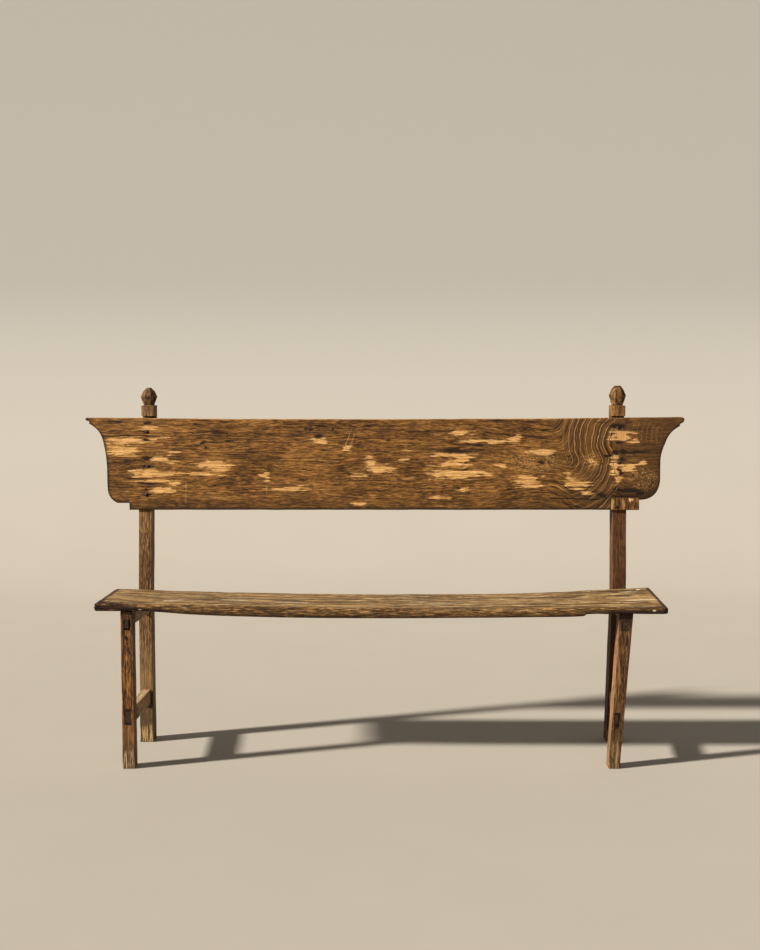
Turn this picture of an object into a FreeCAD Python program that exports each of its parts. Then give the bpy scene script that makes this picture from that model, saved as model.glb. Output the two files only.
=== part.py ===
import FreeCAD, Part
import math
import os
import re
import Sketcher

# An old plank bench with a high back: one sagging seat plank on two end frames.
# Each end frame is a short front leg and a tall rear post joined by two side rails.
# A scroll-ended back board is let into the fronts of the posts and nailed there.
# Axes: X along the bench, Y from front to back, Z up, the floor at Z = 0.
# The origin lies under the middle of the bench. All lengths are in millimetres.

VALUES = {
    # End frames, front to back
    "post_front_y": 120,
    "post_depth": 55,
    "leg_depth": 44,
    "leg_setback": 15,
    "foot_bevel": 2,
    "foot_bevel_height": 5,
    # Left rear post
    "left_post_foot_x": -697.3,
    "left_post_seat_x": -697.9,
    "left_post_board_x": -693.9,
    "left_post_block_x": -683.5,
    "left_post_foot_width": 40,
    "left_post_width": 38,
    # Right rear post
    "right_post_foot_x": 669.4,
    "right_post_seat_x": 681.8,
    "right_post_board_x": 680.0,
    "right_post_block_x": 673.7,
    "right_post_foot_width": 40,
    "right_post_width": 40,
    # Shoulder blocks that stand over the board
    "block_gap": 4,
    "block_height": 31,
    "block_bevel": 2,
    # Carved finials: half widths and heights over the block
    "finial_depth_factor": 1.12,
    "left_neck_half": 14.3,
    "left_low_half": 18.2,
    "left_belly_half": 22.4,
    "left_high_half": 15.5,
    "left_tip_half": 6.4,
    "left_low_rise": 11,
    "left_belly_rise": 24,
    "left_high_rise": 40,
    "left_tip_rise": 50,
    "right_neck_half": 15.2,
    "right_low_half": 19.5,
    "right_belly_half": 23,
    "right_high_half": 16.5,
    "right_tip_half": 8.3,
    "right_low_rise": 13,
    "right_belly_rise": 28,
    "right_high_rise": 45,
    "right_tip_rise": 56,
    # Front legs
    "left_leg_top_x": -702.6,
    "left_leg_foot_x": -701.4,
    "left_leg_width": 34,
    "right_leg_top_x": 655.4,
    "right_leg_foot_x": 626.6,
    "right_leg_top_width": 38,
    "right_leg_foot_width": 31.2,
    # Side rails under the seat
    "left_bearer_width": 28,
    "left_bearer_front_height": 42,
    "left_bearer_rear_height": 50,
    "left_bearer_tenon_width": 12,
    "left_bearer_tenon_height": 24,
    "left_bearer_tenon_drop": 22,
    "left_mortise_side_gap": 4.5,
    "left_mortise_lower_gap": 4.5,
    "right_bearer_width": 26,
    "right_bearer_front_height": 34,
    "right_bearer_rear_height": 42,
    "right_bearer_tenon_width": 20,
    "right_bearer_tenon_height": 25,
    "right_bearer_tenon_drop": 21,
    # Side stretchers near the floor
    "stretcher_width": 26,
    "stretcher_height": 45,
    "stretcher_tenon_height": 34,
    "left_stretcher_front_z": 143,
    "left_stretcher_rear_z": 134,
    "left_stretcher_tenon_width": 19,
    "right_stretcher_front_z": 133,
    "right_stretcher_rear_z": 131,
    "right_stretcher_tenon_width": 15,
    # Joints: play round a tenon, how far its end stays behind the face, wedges
    "joint_play": 0.2,
    "tenon_recess": 1,
    "wedge_length": 30,
    "wedge_thick": 5,
    "wedge_tip": 1,
    # Seat plank: bearing heights, overhangs and edges
    "left_bearing_z": 434,
    "right_bearing_z": 427,
    "right_bearing_slope": 0.018,
    "seat_depth": 294.7,
    "seat_post_gap": 0.3,
    "seat_left_overhang": 42.2,
    "seat_right_overhang": 42,
    "seat_bearing_margin": 45,
    "seat_right_margin": 55,
    "seat_end_bevel": 5,
    "seat_arris": 3,
    "seat_hollow_back": 12,
    # Seat plank: thickness at the front and rear edges from left to right
    "seat_end_left_front": 29,
    "seat_end_left_rear": 21,
    "seat_left_outer_front": 26,
    "seat_left_outer_rear": 20.5,
    "seat_left_inner_front": 22.5,
    "seat_left_inner_rear": 17.5,
    "seat_a_front": 29.5,
    "seat_a_rear": 22,
    "seat_b_front": 32,
    "seat_b_rear": 24.3,
    "seat_c_front": 30.3,
    "seat_c_rear": 23.8,
    "seat_d_front": 28.2,
    "seat_d_rear": 23.6,
    "seat_e_front": 26.8,
    "seat_e_rear": 24.3,
    "seat_f_front": 24.8,
    "seat_f_rear": 27,
    "seat_right_inner_front": 19.6,
    "seat_right_inner_rear": 25,
    "seat_right_outer_front": 19.8,
    "seat_right_outer_rear": 30.5,
    "seat_end_right_front": 19,
    "seat_end_right_rear": 32.5,
    # Seat plank: how far the underside sags between the frames
    "sag_a": 8.2,
    "sag_b": 14,
    "sag_c": 15.2,
    "sag_d": 13.1,
    "sag_e": 9.9,
    "sag_f": 6.4,
    "under_step": 5.5,
    # Seat plank: height of the worn lower front edge
    "front_edge_left": 8,
    "front_edge_middle": 3.2,
    "front_edge_right": 2.6,
    # Back board
    "board_length": 1726,
    "board_bottom_z": 684,
    "board_height": 268,
    "board_thickness": 24,
    "board_proud": 6,
    "board_right_rise": 1.5,
    "board_hollow": 5,
    # Left scroll: distances in from the tip, down from the top, up from the bottom
    "left_lip_in": 4,
    "left_lip_drop": 4,
    "left_underlip_in": 3,
    "left_underlip_drop": 9,
    "left_nick_in": 11.5,
    "left_nick_drop": 11,
    "left_cove_in": 10.5,
    "left_cove_drop": 18,
    "left_bend_in": 51,
    "left_bend_drop": 72,
    "left_waist_in": 61,
    "left_waist_drop": 162,
    "left_ovolo_in": 61.5,
    "left_ovolo_up": 64,
    "left_round_in": 89,
    "left_heel_in": 124,
    "left_heel_up": 20.7,
    "left_cove_bulge": 7.6,
    "left_waist_bulge": 2.4,
    "left_ovolo_bulge": 7.7,
    # Right scroll, the same way round
    "right_lip_in": 7,
    "right_lip_drop": 8,
    "right_underlip_in": 1.6,
    "right_underlip_drop": 14.5,
    "right_nick_in": 12.4,
    "right_nick_drop": 20.5,
    "right_cove_in": 13.2,
    "right_cove_drop": 26.1,
    "right_bend_in": 54,
    "right_bend_drop": 73.9,
    "right_waist_in": 68.5,
    "right_waist_drop": 145.5,
    "right_ovolo_in": 67,
    "right_ovolo_up": 85,
    "right_round_up": 29.6,
    "right_cove_bulge": 6,
    "right_waist_bulge": 4.2,
    "right_ovolo_bulge": 15.8,
    # Patch let into the lower edge of the board in front of the right post
    "patch_left_reach": 27.4,
    "patch_right_reach": 56.5,
    "patch_height": 38,
    "patch_proud": 1,
    "patch_play": 0.3,
    "patch_shoulder": 2.2,
    # Wrought nails: square shank, faceted head, and where they are driven
    "shank_width": 3.6,
    "shank_tip": 1.6,
    "head_half": 4.3,
    "head_crown": 1.9,
    "head_height": 2.2,
    "nail_play": 0.2,
    "nail_bite": 28,
    "left_nail_a_side": -1.9,
    "left_nail_a_up": 227,
    "left_nail_b_side": 4,
    "left_nail_b_up": 127,
    "left_nail_c_side": 2.2,
    "left_nail_c_up": 45,
    "right_nail_a_side": -2.4,
    "right_nail_a_up": 239,
    "right_nail_b_side": -6.6,
    "right_nail_b_up": 61,
    "patch_nail_side": -9.8,
    "patch_nail_up": 10,
    "seat_nail_front": 71,
    "seat_nail_rear": 60,
    "seat_nail_sink": 3,
    "seat_nail_bite": 26,
}

doc = FreeCAD.newDocument("PlankBench")
sheet = doc.addObject("Spreadsheet::Sheet", "Sizes")
for row, (alias, value) in enumerate(VALUES.items(), start=1):
    sheet.set("A%d" % row, alias)
    sheet.set("B%d" % row, repr(value))
    sheet.setAlias("B%d" % row, alias)
doc.recompute()


def bind(text):
    """Turn the bare size names of a formula into references to the sheet."""
    return re.sub(r"[a-z]\w*", lambda word: "Sizes." + word[0] if word[0] in VALUES else word[0], text)


def number(text):
    """Present value of a formula, used as a sketch's starting geometry."""
    return float(sheet.evalExpression(bind(text)))


def new_body(label):
    body = doc.addObject("PartDesign::Body", label)
    body.Label = label
    body.Placement = FreeCAD.Placement()
    return body


def new_sketch(body, plane, offset):
    """Empty sketch on a plane parallel to one of the body's origin planes.

    The offset is the plane's Z for XY_Plane, X for YZ_Plane and Y for XZ_Plane.
    """
    sketch = body.newObject("Sketcher::SketchObject", body.Name + "Sketch")
    base = next(item for item in body.Origin.OriginFeatures if item.Role == plane)
    sketch.AttachmentSupport = (base, [""])
    sketch.MapMode = "FlatFace"
    away = "-(" + offset + ")" if plane == "XZ_Plane" else offset
    sketch.setExpression(".AttachmentOffset.Base.z", bind(away))
    return sketch


def fix_point(sketch, element, end, point):
    """Hold one end of an element at a pair of formulas, measured from the origin."""
    for kind, text in zip(("DistanceX", "DistanceY"), point):
        held = sketch.addConstraint(Sketcher.Constraint(kind, -1, 1, element, end, number(text)))
        sketch.setExpression("Constraints[%d]" % held, bind(text))


def polygon(body, plane, offset, points):
    """Sketch of a closed polygon whose corners are pairs of formulas."""
    sketch = new_sketch(body, plane, offset)
    corners = [FreeCAD.Vector(number(u), number(v), 0) for u, v in points]
    count = len(corners)
    for index in range(count):
        sketch.addGeometry(Part.LineSegment(corners[index], corners[(index + 1) % count]))
    for index in range(count):
        sketch.addConstraint(Sketcher.Constraint("Coincident", index, 2, (index + 1) % count, 1))
        fix_point(sketch, index, 1, points[index])
    return sketch


def outline(body, plane, offset, points):
    """Sketch of a closed outline of lines and arcs, anticlockwise.

    Each point is (u, v, bulge): the bulge is the height of the arc that runs to the
    next point, with its side as +1 outward or -1 inward, or None for a straight line.
    """
    sketch = new_sketch(body, plane, offset)
    count = len(points)
    corners = [FreeCAD.Vector(number(point[0]), number(point[1]), 0) for point in points]
    ends = []
    for index, (u, v, bulge) in enumerate(points):
        start, stop = corners[index], corners[(index + 1) % count]
        if bulge is None:
            sketch.addGeometry(Part.LineSegment(start, stop))
            ends.append((1, 2))
            continue
        rise, side = number(bulge[0]), bulge[1]
        chord = stop - start
        radius = (chord.Length ** 2 / 4 + rise ** 2) / (2 * rise)
        outward = FreeCAD.Vector(chord.y, -chord.x, 0).normalize() * side
        centre = (start + stop) * 0.5 + outward * (rise - radius)
        circle = Part.Circle(centre, FreeCAD.Vector(0, 0, 1), radius)
        first, last = (start, stop) if side > 0 else (stop, start)
        angle_from = math.atan2(first.y - centre.y, first.x - centre.x)
        angle_to = math.atan2(last.y - centre.y, last.x - centre.x)
        sketch.addGeometry(Part.ArcOfCircle(circle, angle_from, angle_to))
        ends.append((1, 2) if side > 0 else (2, 1))
    for index, (u, v, bulge) in enumerate(points):
        after = (index + 1) % count
        sketch.addConstraint(
            Sketcher.Constraint("Coincident", index, ends[index][1], after, ends[after][0]))
        fix_point(sketch, index, ends[index][0], (u, v))
        if bulge is not None:
            u_next, v_next = points[after][:2]
            formula = "((((%s) - (%s))^2 + ((%s) - (%s))^2) / 4 + (%s)^2) / (2 * (%s))" % (
                u_next, u, v_next, v, bulge[0], bulge[0])
            held = sketch.addConstraint(Sketcher.Constraint("Radius", index, number(formula)))
            sketch.setExpression("Constraints[%d]" % held, bind(formula))
    return sketch


def loft(body, plane, stations, cut=False):
    """Straight-sided loft through (offset, polygon) stations, added or cut away."""
    kind = "PartDesign::SubtractiveLoft" if cut else "PartDesign::AdditiveLoft"
    sketches = [polygon(body, plane, offset, points) for offset, points in stations]
    feature = body.newObject(kind, body.Name + "Loft")
    feature.Profile = sketches[0]
    feature.Sections = sketches[1:]
    feature.Ruled = True
    return feature


def pad(body, sketch, length):
    """Pad towards the front, the way a sketch on the XZ plane faces."""
    feature = body.newObject("PartDesign::Pad", body.Name + "Pad")
    feature.Profile = sketch
    feature.setExpression("Length", bind(length))
    return feature


def rectangle(u_low, u_high, v_low, v_high):
    return [(u_low, v_low), (u_high, v_low), (u_high, v_high), (u_low, v_high)]


def square(u, v, half):
    return rectangle(f"{u} - {half}", f"{u} + {half}", f"{v} - {half}", f"{v} + {half}")


def octagon(u, v, half_u, half_v):
    """Corners at the half widths and at tan 22.5 degrees of them."""
    near_u, near_v = f"0.4142 * {half_u}", f"0.4142 * {half_v}"
    return [
        (f"{u} + {half_u}", f"{v} - {near_v}"), (f"{u} + {half_u}", f"{v} + {near_v}"),
        (f"{u} + {near_u}", f"{v} + {half_v}"), (f"{u} - {near_u}", f"{v} + {half_v}"),
        (f"{u} - {half_u}", f"{v} + {near_v}"), (f"{u} - {half_u}", f"{v} - {near_v}"),
        (f"{u} - {near_u}", f"{v} - {half_v}"), (f"{u} + {near_u}", f"{v} - {half_v}"),
    ]


# Planes that the pieces share, front to back
SEAT_REAR = "(post_front_y - seat_post_gap)"
SEAT_FRONT = "(post_front_y - seat_post_gap - seat_depth)"
LEG_FRONT = f"({SEAT_FRONT} + leg_setback)"
LEG_BACK = f"({LEG_FRONT} + leg_depth)"
LEG_MIDDLE = f"({LEG_FRONT} + leg_depth / 2)"
POST_BACK = "(post_front_y + post_depth)"
POST_MIDDLE = "(post_front_y + post_depth / 2)"
BOARD_FRONT = "(post_front_y - board_proud)"
BOARD_BACK = "(post_front_y - board_proud + board_thickness)"
BOARD_TOP = "(board_bottom_z + board_height)"
BLOCK_BOTTOM = f"({BOARD_TOP} + block_gap)"
BLOCK_TOP = f"({BLOCK_BOTTOM} + block_height)"


def between(at, start, stop, low, high):
    """Formula that runs straight from low at start to high at stop."""
    return f"({low} + ({at} - {start}) * ({high} - {low}) / ({stop} - {start}))"


def bearing(side, y):
    """Height of the seat's underside over an end frame at depth y."""
    if side == "left":
        return "left_bearing_z"
    return f"(right_bearing_z + ({y} - {LEG_FRONT}) * right_bearing_slope)"


def leg_x(side, z):
    return between(z, "0", f"{side}_bearing_z", f"{side}_leg_foot_x", f"{side}_leg_top_x")


def post_x(side, z):
    return between(z, "0", f"{side}_bearing_z", f"{side}_post_foot_x", f"{side}_post_seat_x")


def post_x_at_board(side, up):
    return between(up, "0", "board_height", f"{side}_post_board_x", f"{side}_post_block_x")


class Rail:
    """Side rail: its line in plan, its top and bottom, and its tenons, as formulas in y."""

    def __init__(self, side, front_x, rear_x, top, bottom, width, tenon_top, tenon_bottom, tenon_width):
        self.side = side
        self.front_x = front_x
        self.rear_x = rear_x
        self.top = top
        self.bottom = bottom
        self.width = width
        self.tenon_top = tenon_top
        self.tenon_bottom = tenon_bottom
        self.tenon_width = tenon_width

    def x(self, y):
        return between(y, LEG_MIDDLE, POST_MIDDLE, self.front_x, self.rear_x)

    def section(self, y):
        half = f"({self.width} / 2)"
        return (y, rectangle(f"{self.x(y)} - {half}", f"{self.x(y)} + {half}", self.bottom(y), self.top(y)))

    def tenon(self, y, around="0", extra="0", right="0", below="0"):
        """Tenon section widened all round, then up and down, to the right, and below."""
        half = f"({self.tenon_width} / 2 + {around})"
        return (y, rectangle(
            f"{self.x(y)} - {half}", f"{self.x(y)} + {half} + {right}",
            f"{self.tenon_bottom(y)} - {around} - {extra} - {below}",
            f"{self.tenon_top(y)} + {around} + {extra}"))

    def wedge(self, y, upper, thick):
        """Section of the wedge that lies over or under the tenon."""
        half = f"({self.tenon_width} / 2)"
        if upper:
            low = f"{self.tenon_top(y)} + joint_play"
            high = f"{low} + {thick}"
        else:
            high = f"{self.tenon_bottom(y)} - joint_play"
            low = f"{high} - {thick}"
        return (y, rectangle(f"{self.x(y)} - {half}", f"{self.x(y)} + {half}", low, high))


def bearer(side):
    def top(y):
        return bearing(side, y)

    def bottom(y):
        drop = between(y, LEG_BACK, "post_front_y",
                       f"{side}_bearer_front_height", f"{side}_bearer_rear_height")
        return f"({top(y)} - {drop})"

    def tenon_top(y):
        return f"({top(y)} - {side}_bearer_tenon_drop)"

    def tenon_bottom(y):
        return f"({top(y)} - {side}_bearer_tenon_drop - {side}_bearer_tenon_height)"

    return Rail(side, f"{side}_leg_top_x", f"{side}_post_seat_x", top, bottom,
                f"{side}_bearer_width", tenon_top, tenon_bottom, f"{side}_bearer_tenon_width")


def stretcher(side):
    def middle(y):
        return between(y, LEG_MIDDLE, POST_MIDDLE, f"{side}_stretcher_front_z", f"{side}_stretcher_rear_z")

    def top(y):
        return f"({middle(y)} + stretcher_height / 2)"

    def bottom(y):
        return f"({middle(y)} - stretcher_height / 2)"

    def tenon_top(y):
        return f"({middle(y)} + stretcher_tenon_height / 2)"

    def tenon_bottom(y):
        return f"({middle(y)} - stretcher_tenon_height / 2)"

    return Rail(side, leg_x(side, f"{side}_stretcher_front_z"), post_x(side, f"{side}_stretcher_rear_z"),
                top, bottom, "stretcher_width", tenon_top, tenon_bottom, f"{side}_stretcher_tenon_width")


BEARERS = {side: bearer(side) for side in ("left", "right")}
STRETCHERS = {side: stretcher(side) for side in ("left", "right")}
PARTS = {}


def keep(item, label):
    item.Label = label
    PARTS[label] = item
    return item


# Side rails with a through tenon at each end
TENON_FRONT = f"({LEG_FRONT} + tenon_recess)"
TENON_REAR = f"({POST_BACK} - tenon_recess)"
for side in ("left", "right"):
    for name, rail in (("seat_bearer", BEARERS[side]), ("side_stretcher", STRETCHERS[side])):
        body = new_body(f"{side}_{name}")
        loft(body, "XZ_Plane", [rail.section(LEG_BACK), rail.section("post_front_y")])
        loft(body, "XZ_Plane", [rail.tenon(TENON_FRONT), rail.tenon(LEG_BACK)])
        loft(body, "XZ_Plane", [rail.tenon("post_front_y"), rail.tenon(TENON_REAR)])
        keep(body, f"{side}_{name}")


def cut_mortises(body, side, outer, inner, wedge_end, right, below):
    """Through mortises for the bearer and the stretcher, the lower one flared for wedges."""
    loft(body, "XZ_Plane", [
        BEARERS[side].tenon(outer, "joint_play", "0", right, below),
        BEARERS[side].tenon(inner, "joint_play", "0", right, below)], cut=True)
    loft(body, "XZ_Plane", [
        STRETCHERS[side].tenon(outer, "joint_play"),
        STRETCHERS[side].tenon(inner, "joint_play")], cut=True)
    loft(body, "XZ_Plane", [
        STRETCHERS[side].tenon(outer, "joint_play", "(wedge_thick + joint_play)"),
        STRETCHERS[side].tenon(wedge_end, "joint_play", "(wedge_tip + joint_play)")], cut=True)


# Short front legs, straight from foot to top
for side in ("left", "right"):
    if side == "left":
        top_half, foot_half = "left_leg_width / 2", "left_leg_width / 2"
    else:
        top_half, foot_half = "right_leg_top_width / 2", "right_leg_foot_width / 2"

    def leg_section(z, inset):
        x = leg_x(side, z)
        half = between(z, "0", f"{side}_bearing_z", foot_half, top_half)
        return (z, rectangle(f"{x} - {half} + {inset}", f"{x} + {half} - {inset}",
                             f"{LEG_FRONT} + {inset}", f"{LEG_BACK} - {inset}"))

    body = new_body(f"{side}_front_leg")
    loft(body, "XY_Plane", [
        leg_section("0", "foot_bevel"),
        leg_section("foot_bevel_height", "0"),
        leg_section(f"{side}_bearing_z", "0")])
    right_gap = "left_mortise_side_gap" if side == "left" else "0"
    lower_gap = "left_mortise_lower_gap" if side == "left" else "0"
    cut_mortises(body, side, LEG_FRONT, LEG_BACK, f"({LEG_FRONT} + wedge_length)", right_gap, lower_gap)
    keep(body, f"{side}_front_leg")

# Tall rear posts: notched for the board, with a block and a faceted bud on top
BOARD_NAILS = {
    "left": ["left_nail_a", "left_nail_b", "left_nail_c"],
    "right": ["right_nail_a", "right_nail_b"],
    "patch": ["patch_nail"],
}


def nail_spot(name):
    """Centre of a board nail: beside its post's centre line, up from the board's lower edge."""
    side = "left" if name.startswith("left") else "right"
    up = f"{name}_up"
    return (f"({post_x_at_board(side, up)} + {name}_side)", f"(board_bottom_z + {up})")


HOLE_HALF = "(shank_width / 2 + nail_play)"
for side in ("left", "right"):
    def post_section(z, x, width, inset="0"):
        half = f"({width} / 2 - {inset})"
        return (z, rectangle(f"{x} - {half}", f"{x} + {half}",
                             f"post_front_y + {inset}", f"{POST_BACK} - {inset}"))

    foot_width, width = f"{side}_post_foot_width", f"{side}_post_width"
    block_x = f"{side}_post_block_x"
    body = new_body(f"{side}_rear_post")
    loft(body, "XY_Plane", [
        post_section("0", f"{side}_post_foot_x", foot_width, "foot_bevel"),
        post_section("foot_bevel_height", post_x(side, "foot_bevel_height"), foot_width),
        post_section(f"{side}_bearing_z", f"{side}_post_seat_x", width),
        post_section("board_bottom_z", f"{side}_post_board_x", width),
        post_section(BOARD_TOP, block_x, width),
        post_section(f"({BLOCK_TOP} - block_bevel)", block_x, width),
        post_section(BLOCK_TOP, block_x, width, "block_bevel")])

    def bud_section(rise, half):
        return (f"({BLOCK_TOP} + {rise})",
                octagon(block_x, POST_MIDDLE, half, f"({half} * finial_depth_factor)"))

    loft(body, "XY_Plane", [
        bud_section("0", f"{side}_neck_half"),
        bud_section(f"{side}_low_rise", f"{side}_low_half"),
        bud_section(f"{side}_belly_rise", f"{side}_belly_half"),
        bud_section(f"{side}_high_rise", f"{side}_high_half"),
        bud_section(f"{side}_tip_rise", f"{side}_tip_half")])
    notch = rectangle(f"{side}_post_board_x - 2 * {width}", f"{side}_post_board_x + 2 * {width}",
                      "board_bottom_z - joint_play", BLOCK_BOTTOM)
    loft(body, "XZ_Plane", [(f"(post_front_y - board_proud)", notch), (BOARD_BACK, notch)], cut=True)
    cut_mortises(body, side, POST_BACK, "post_front_y", f"({POST_BACK} - wedge_length)", "0", "0")
    for name in BOARD_NAILS[side] + (BOARD_NAILS["patch"] if side == "right" else []):
        hole = square(*nail_spot(name), HOLE_HALF)
        loft(body, "XZ_Plane", [(BOARD_BACK, hole), (f"({BOARD_BACK} + nail_bite)", hole)], cut=True)
    keep(body, f"{side}_rear_post")

# Wedges over and under each stretcher tenon, at the front and at the back
for side in ("left", "right"):
    for place, outer, end in (
            ("leg", LEG_FRONT, f"({LEG_FRONT} + wedge_length)"),
            ("post", POST_BACK, f"({POST_BACK} - wedge_length)")):
        pair = []
        for upper in (True, False):
            body = new_body(f"{side}_{place}_wedge_{'upper' if upper else 'lower'}")
            rail = STRETCHERS[side]
            loft(body, "XZ_Plane", [
                rail.wedge(outer, upper, "wedge_thick"), rail.wedge(end, upper, "wedge_tip")])
            pair.append(body)
        group = doc.addObject("Part::Compound", f"{side}_{place}_wedges")
        group.Links = pair
        keep(group, f"{side}_{place}_wedges")

# Seat plank: stations from left to right, each (x, slope, underside, front edge, thicknesses)
ZONE_LEFT_OUT = "(left_leg_top_x - seat_bearing_margin)"
ZONE_LEFT_IN = "(left_leg_top_x + seat_bearing_margin)"
ZONE_RIGHT_IN = "(right_leg_top_x - seat_right_margin)"
ZONE_RIGHT_OUT = "(right_post_seat_x + seat_bearing_margin)"
SEAT_LEFT = f"({ZONE_LEFT_OUT} - seat_left_overhang)"
SEAT_RIGHT = f"({ZONE_RIGHT_OUT} + seat_right_overhang)"


def sagging(share, sag):
    """Underside between the frames: the straight line from frame to frame, less the sag."""
    return f"(left_bearing_z + {share} * (right_bearing_z - left_bearing_z) - {sag})"


def along(share):
    return f"({ZONE_LEFT_IN} + {share} * ({ZONE_RIGHT_IN} - {ZONE_LEFT_IN}))"


def seat_section(x, slope, under, edge, front, rear, inset="0"):
    """Section of the plank: flat underside, worn lower front edge, eased upper edges."""
    y_front, y_rear = f"({SEAT_FRONT} + {inset})", f"({SEAT_REAR} - {inset})"
    under_front = f"({under} + {slope} * (seat_hollow_back - leg_setback) + {inset} / 2)"
    under_rear = f"({under} + {slope} * (seat_depth - leg_setback - seat_arris) + {inset} / 2)"
    top_front, top_rear = f"({under} + {front} - {inset} / 2)", f"({under} + {rear} - {inset} / 2)"
    return (x, [
        (f"{SEAT_REAR} - seat_arris", under_rear),
        (y_rear, f"{under_rear} + seat_arris"),
        (y_rear, f"{top_rear} - seat_arris"),
        (f"{y_rear} - seat_arris", top_rear),
        (f"{y_front} + seat_arris", top_front),
        (y_front, f"{top_front} - seat_arris"),
        (y_front, f"({under} + {edge} + {inset} / 2)"),
        (f"{SEAT_FRONT} + seat_hollow_back", under_front),
    ])


body = new_body("seat_plank")
loft(body, "YZ_Plane", [
    seat_section(SEAT_LEFT, "0", "left_bearing_z", "front_edge_left",
                 "seat_end_left_front", "seat_end_left_rear", "seat_end_bevel"),
    seat_section(f"({SEAT_LEFT} + seat_end_bevel)", "0", "left_bearing_z", "front_edge_left",
                 "seat_end_left_front", "seat_end_left_rear"),
    seat_section(ZONE_LEFT_OUT, "0", "left_bearing_z", "front_edge_left",
                 "seat_left_outer_front", "seat_left_outer_rear"),
    seat_section(ZONE_LEFT_IN, "0", "left_bearing_z", "front_edge_middle",
                 "seat_left_inner_front", "seat_left_inner_rear"),
    seat_section(along("0.11"), "0", sagging("0.11", "sag_a"), "front_edge_middle",
                 "seat_a_front", "seat_a_rear"),
    seat_section(along("0.28"), "0", sagging("0.28", "sag_b"), "front_edge_middle",
                 "seat_b_front", "seat_b_rear"),
    seat_section(along("0.48"), "0", sagging("0.48", "sag_c"), "front_edge_middle",
                 "seat_c_front", "seat_c_rear"),
    seat_section(along("0.67"), "0", sagging("0.67", "sag_d"), "front_edge_middle",
                 "seat_d_front", "seat_d_rear"),
    seat_section(along("0.84"), "0", sagging("0.84", "sag_e"), "front_edge_middle",
                 "seat_e_front", "seat_e_rear"),
    seat_section(along("0.95"), "0", sagging("0.95", "sag_f"), "front_edge_middle",
                 "seat_f_front", "seat_f_rear"),
    seat_section(along("0.957"), "0", sagging("0.957", "(sag_f - under_step)"), "front_edge_right",
                 "(seat_f_front - under_step)", "(seat_f_rear - under_step)"),
    seat_section(ZONE_RIGHT_IN, "right_bearing_slope", "right_bearing_z", "front_edge_right",
                 "seat_right_inner_front", "seat_right_inner_rear"),
    seat_section(ZONE_RIGHT_OUT, "right_bearing_slope", "right_bearing_z", "front_edge_right",
                 "seat_right_outer_front", "seat_right_outer_rear"),
    seat_section(f"({SEAT_RIGHT} - seat_end_bevel)", "right_bearing_slope", "right_bearing_z",
                 "front_edge_right", "seat_end_right_front", "seat_end_right_rear"),
    seat_section(SEAT_RIGHT, "right_bearing_slope", "right_bearing_z", "front_edge_right",
                 "seat_end_right_front", "seat_end_right_rear", "seat_end_bevel")])
seat = body


def seat_top(side, y):
    """Height of the seat's top over the middle of a bearing zone, straight from front to rear."""
    front = f"((seat_{side}_outer_front + seat_{side}_inner_front) / 2)"
    rear = f"((seat_{side}_outer_rear + seat_{side}_inner_rear) / 2)"
    return f"({side}_bearing_z + {between(y, SEAT_FRONT, SEAT_REAR, front, rear)})"


def seat_nail(side, place):
    """Centre of a seat nail in plan and the height under its head."""
    y = f"({SEAT_FRONT} + seat_nail_front)" if place == "front" else f"({SEAT_REAR} - seat_nail_rear)"
    return BEARERS[side].x(y), y, f"({seat_top(side, y)} - seat_nail_sink)"


for side in ("left", "right"):
    for place in ("front", "rear"):
        x, y, z = seat_nail(side, place)
        hole = square(x, y, HOLE_HALF)
        wide = octagon(x, y, "(head_half + nail_play)", "(head_half + nail_play)")
        loft(seat, "XY_Plane", [(z, wide), (f"({z} + 3 * seat_nail_sink)", wide)], cut=True)
        loft(seat, "XY_Plane", [(f"({side}_bearing_z - 2 * seat_arris)", hole), (z, hole)], cut=True)
        bottom = f"({z} - seat_nail_bite - {seat_top(side, y)} + {side}_bearing_z)"
        loft(PARTS[f"{side}_seat_bearer"], "XY_Plane", [
            (bottom, hole), (f"({bearing(side, y)} + 2 * seat_arris)", hole)], cut=True)
keep(seat, "seat_plank")

# Patch and board: one outline with a scroll at each end and a notch for the patch
PATCH_LEFT = "(right_post_board_x - patch_left_reach)"
PATCH_RIGHT = "(right_post_board_x + patch_right_reach)"
PATCH_TOP = "(board_bottom_z + patch_height)"
body = new_body("back_board_patch")
pad(body, polygon(body, "XZ_Plane", BOARD_BACK, rectangle(PATCH_LEFT, PATCH_RIGHT, "board_bottom_z", PATCH_TOP)),
    "board_thickness + patch_proud")
keep(body, "back_board_patch")


def left(inward, height, bulge=None):
    return (f"({inward} - board_length / 2)", height, bulge)


def right(inward, height, bulge=None):
    return (f"(board_length / 2 - {inward})", height, bulge)


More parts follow.
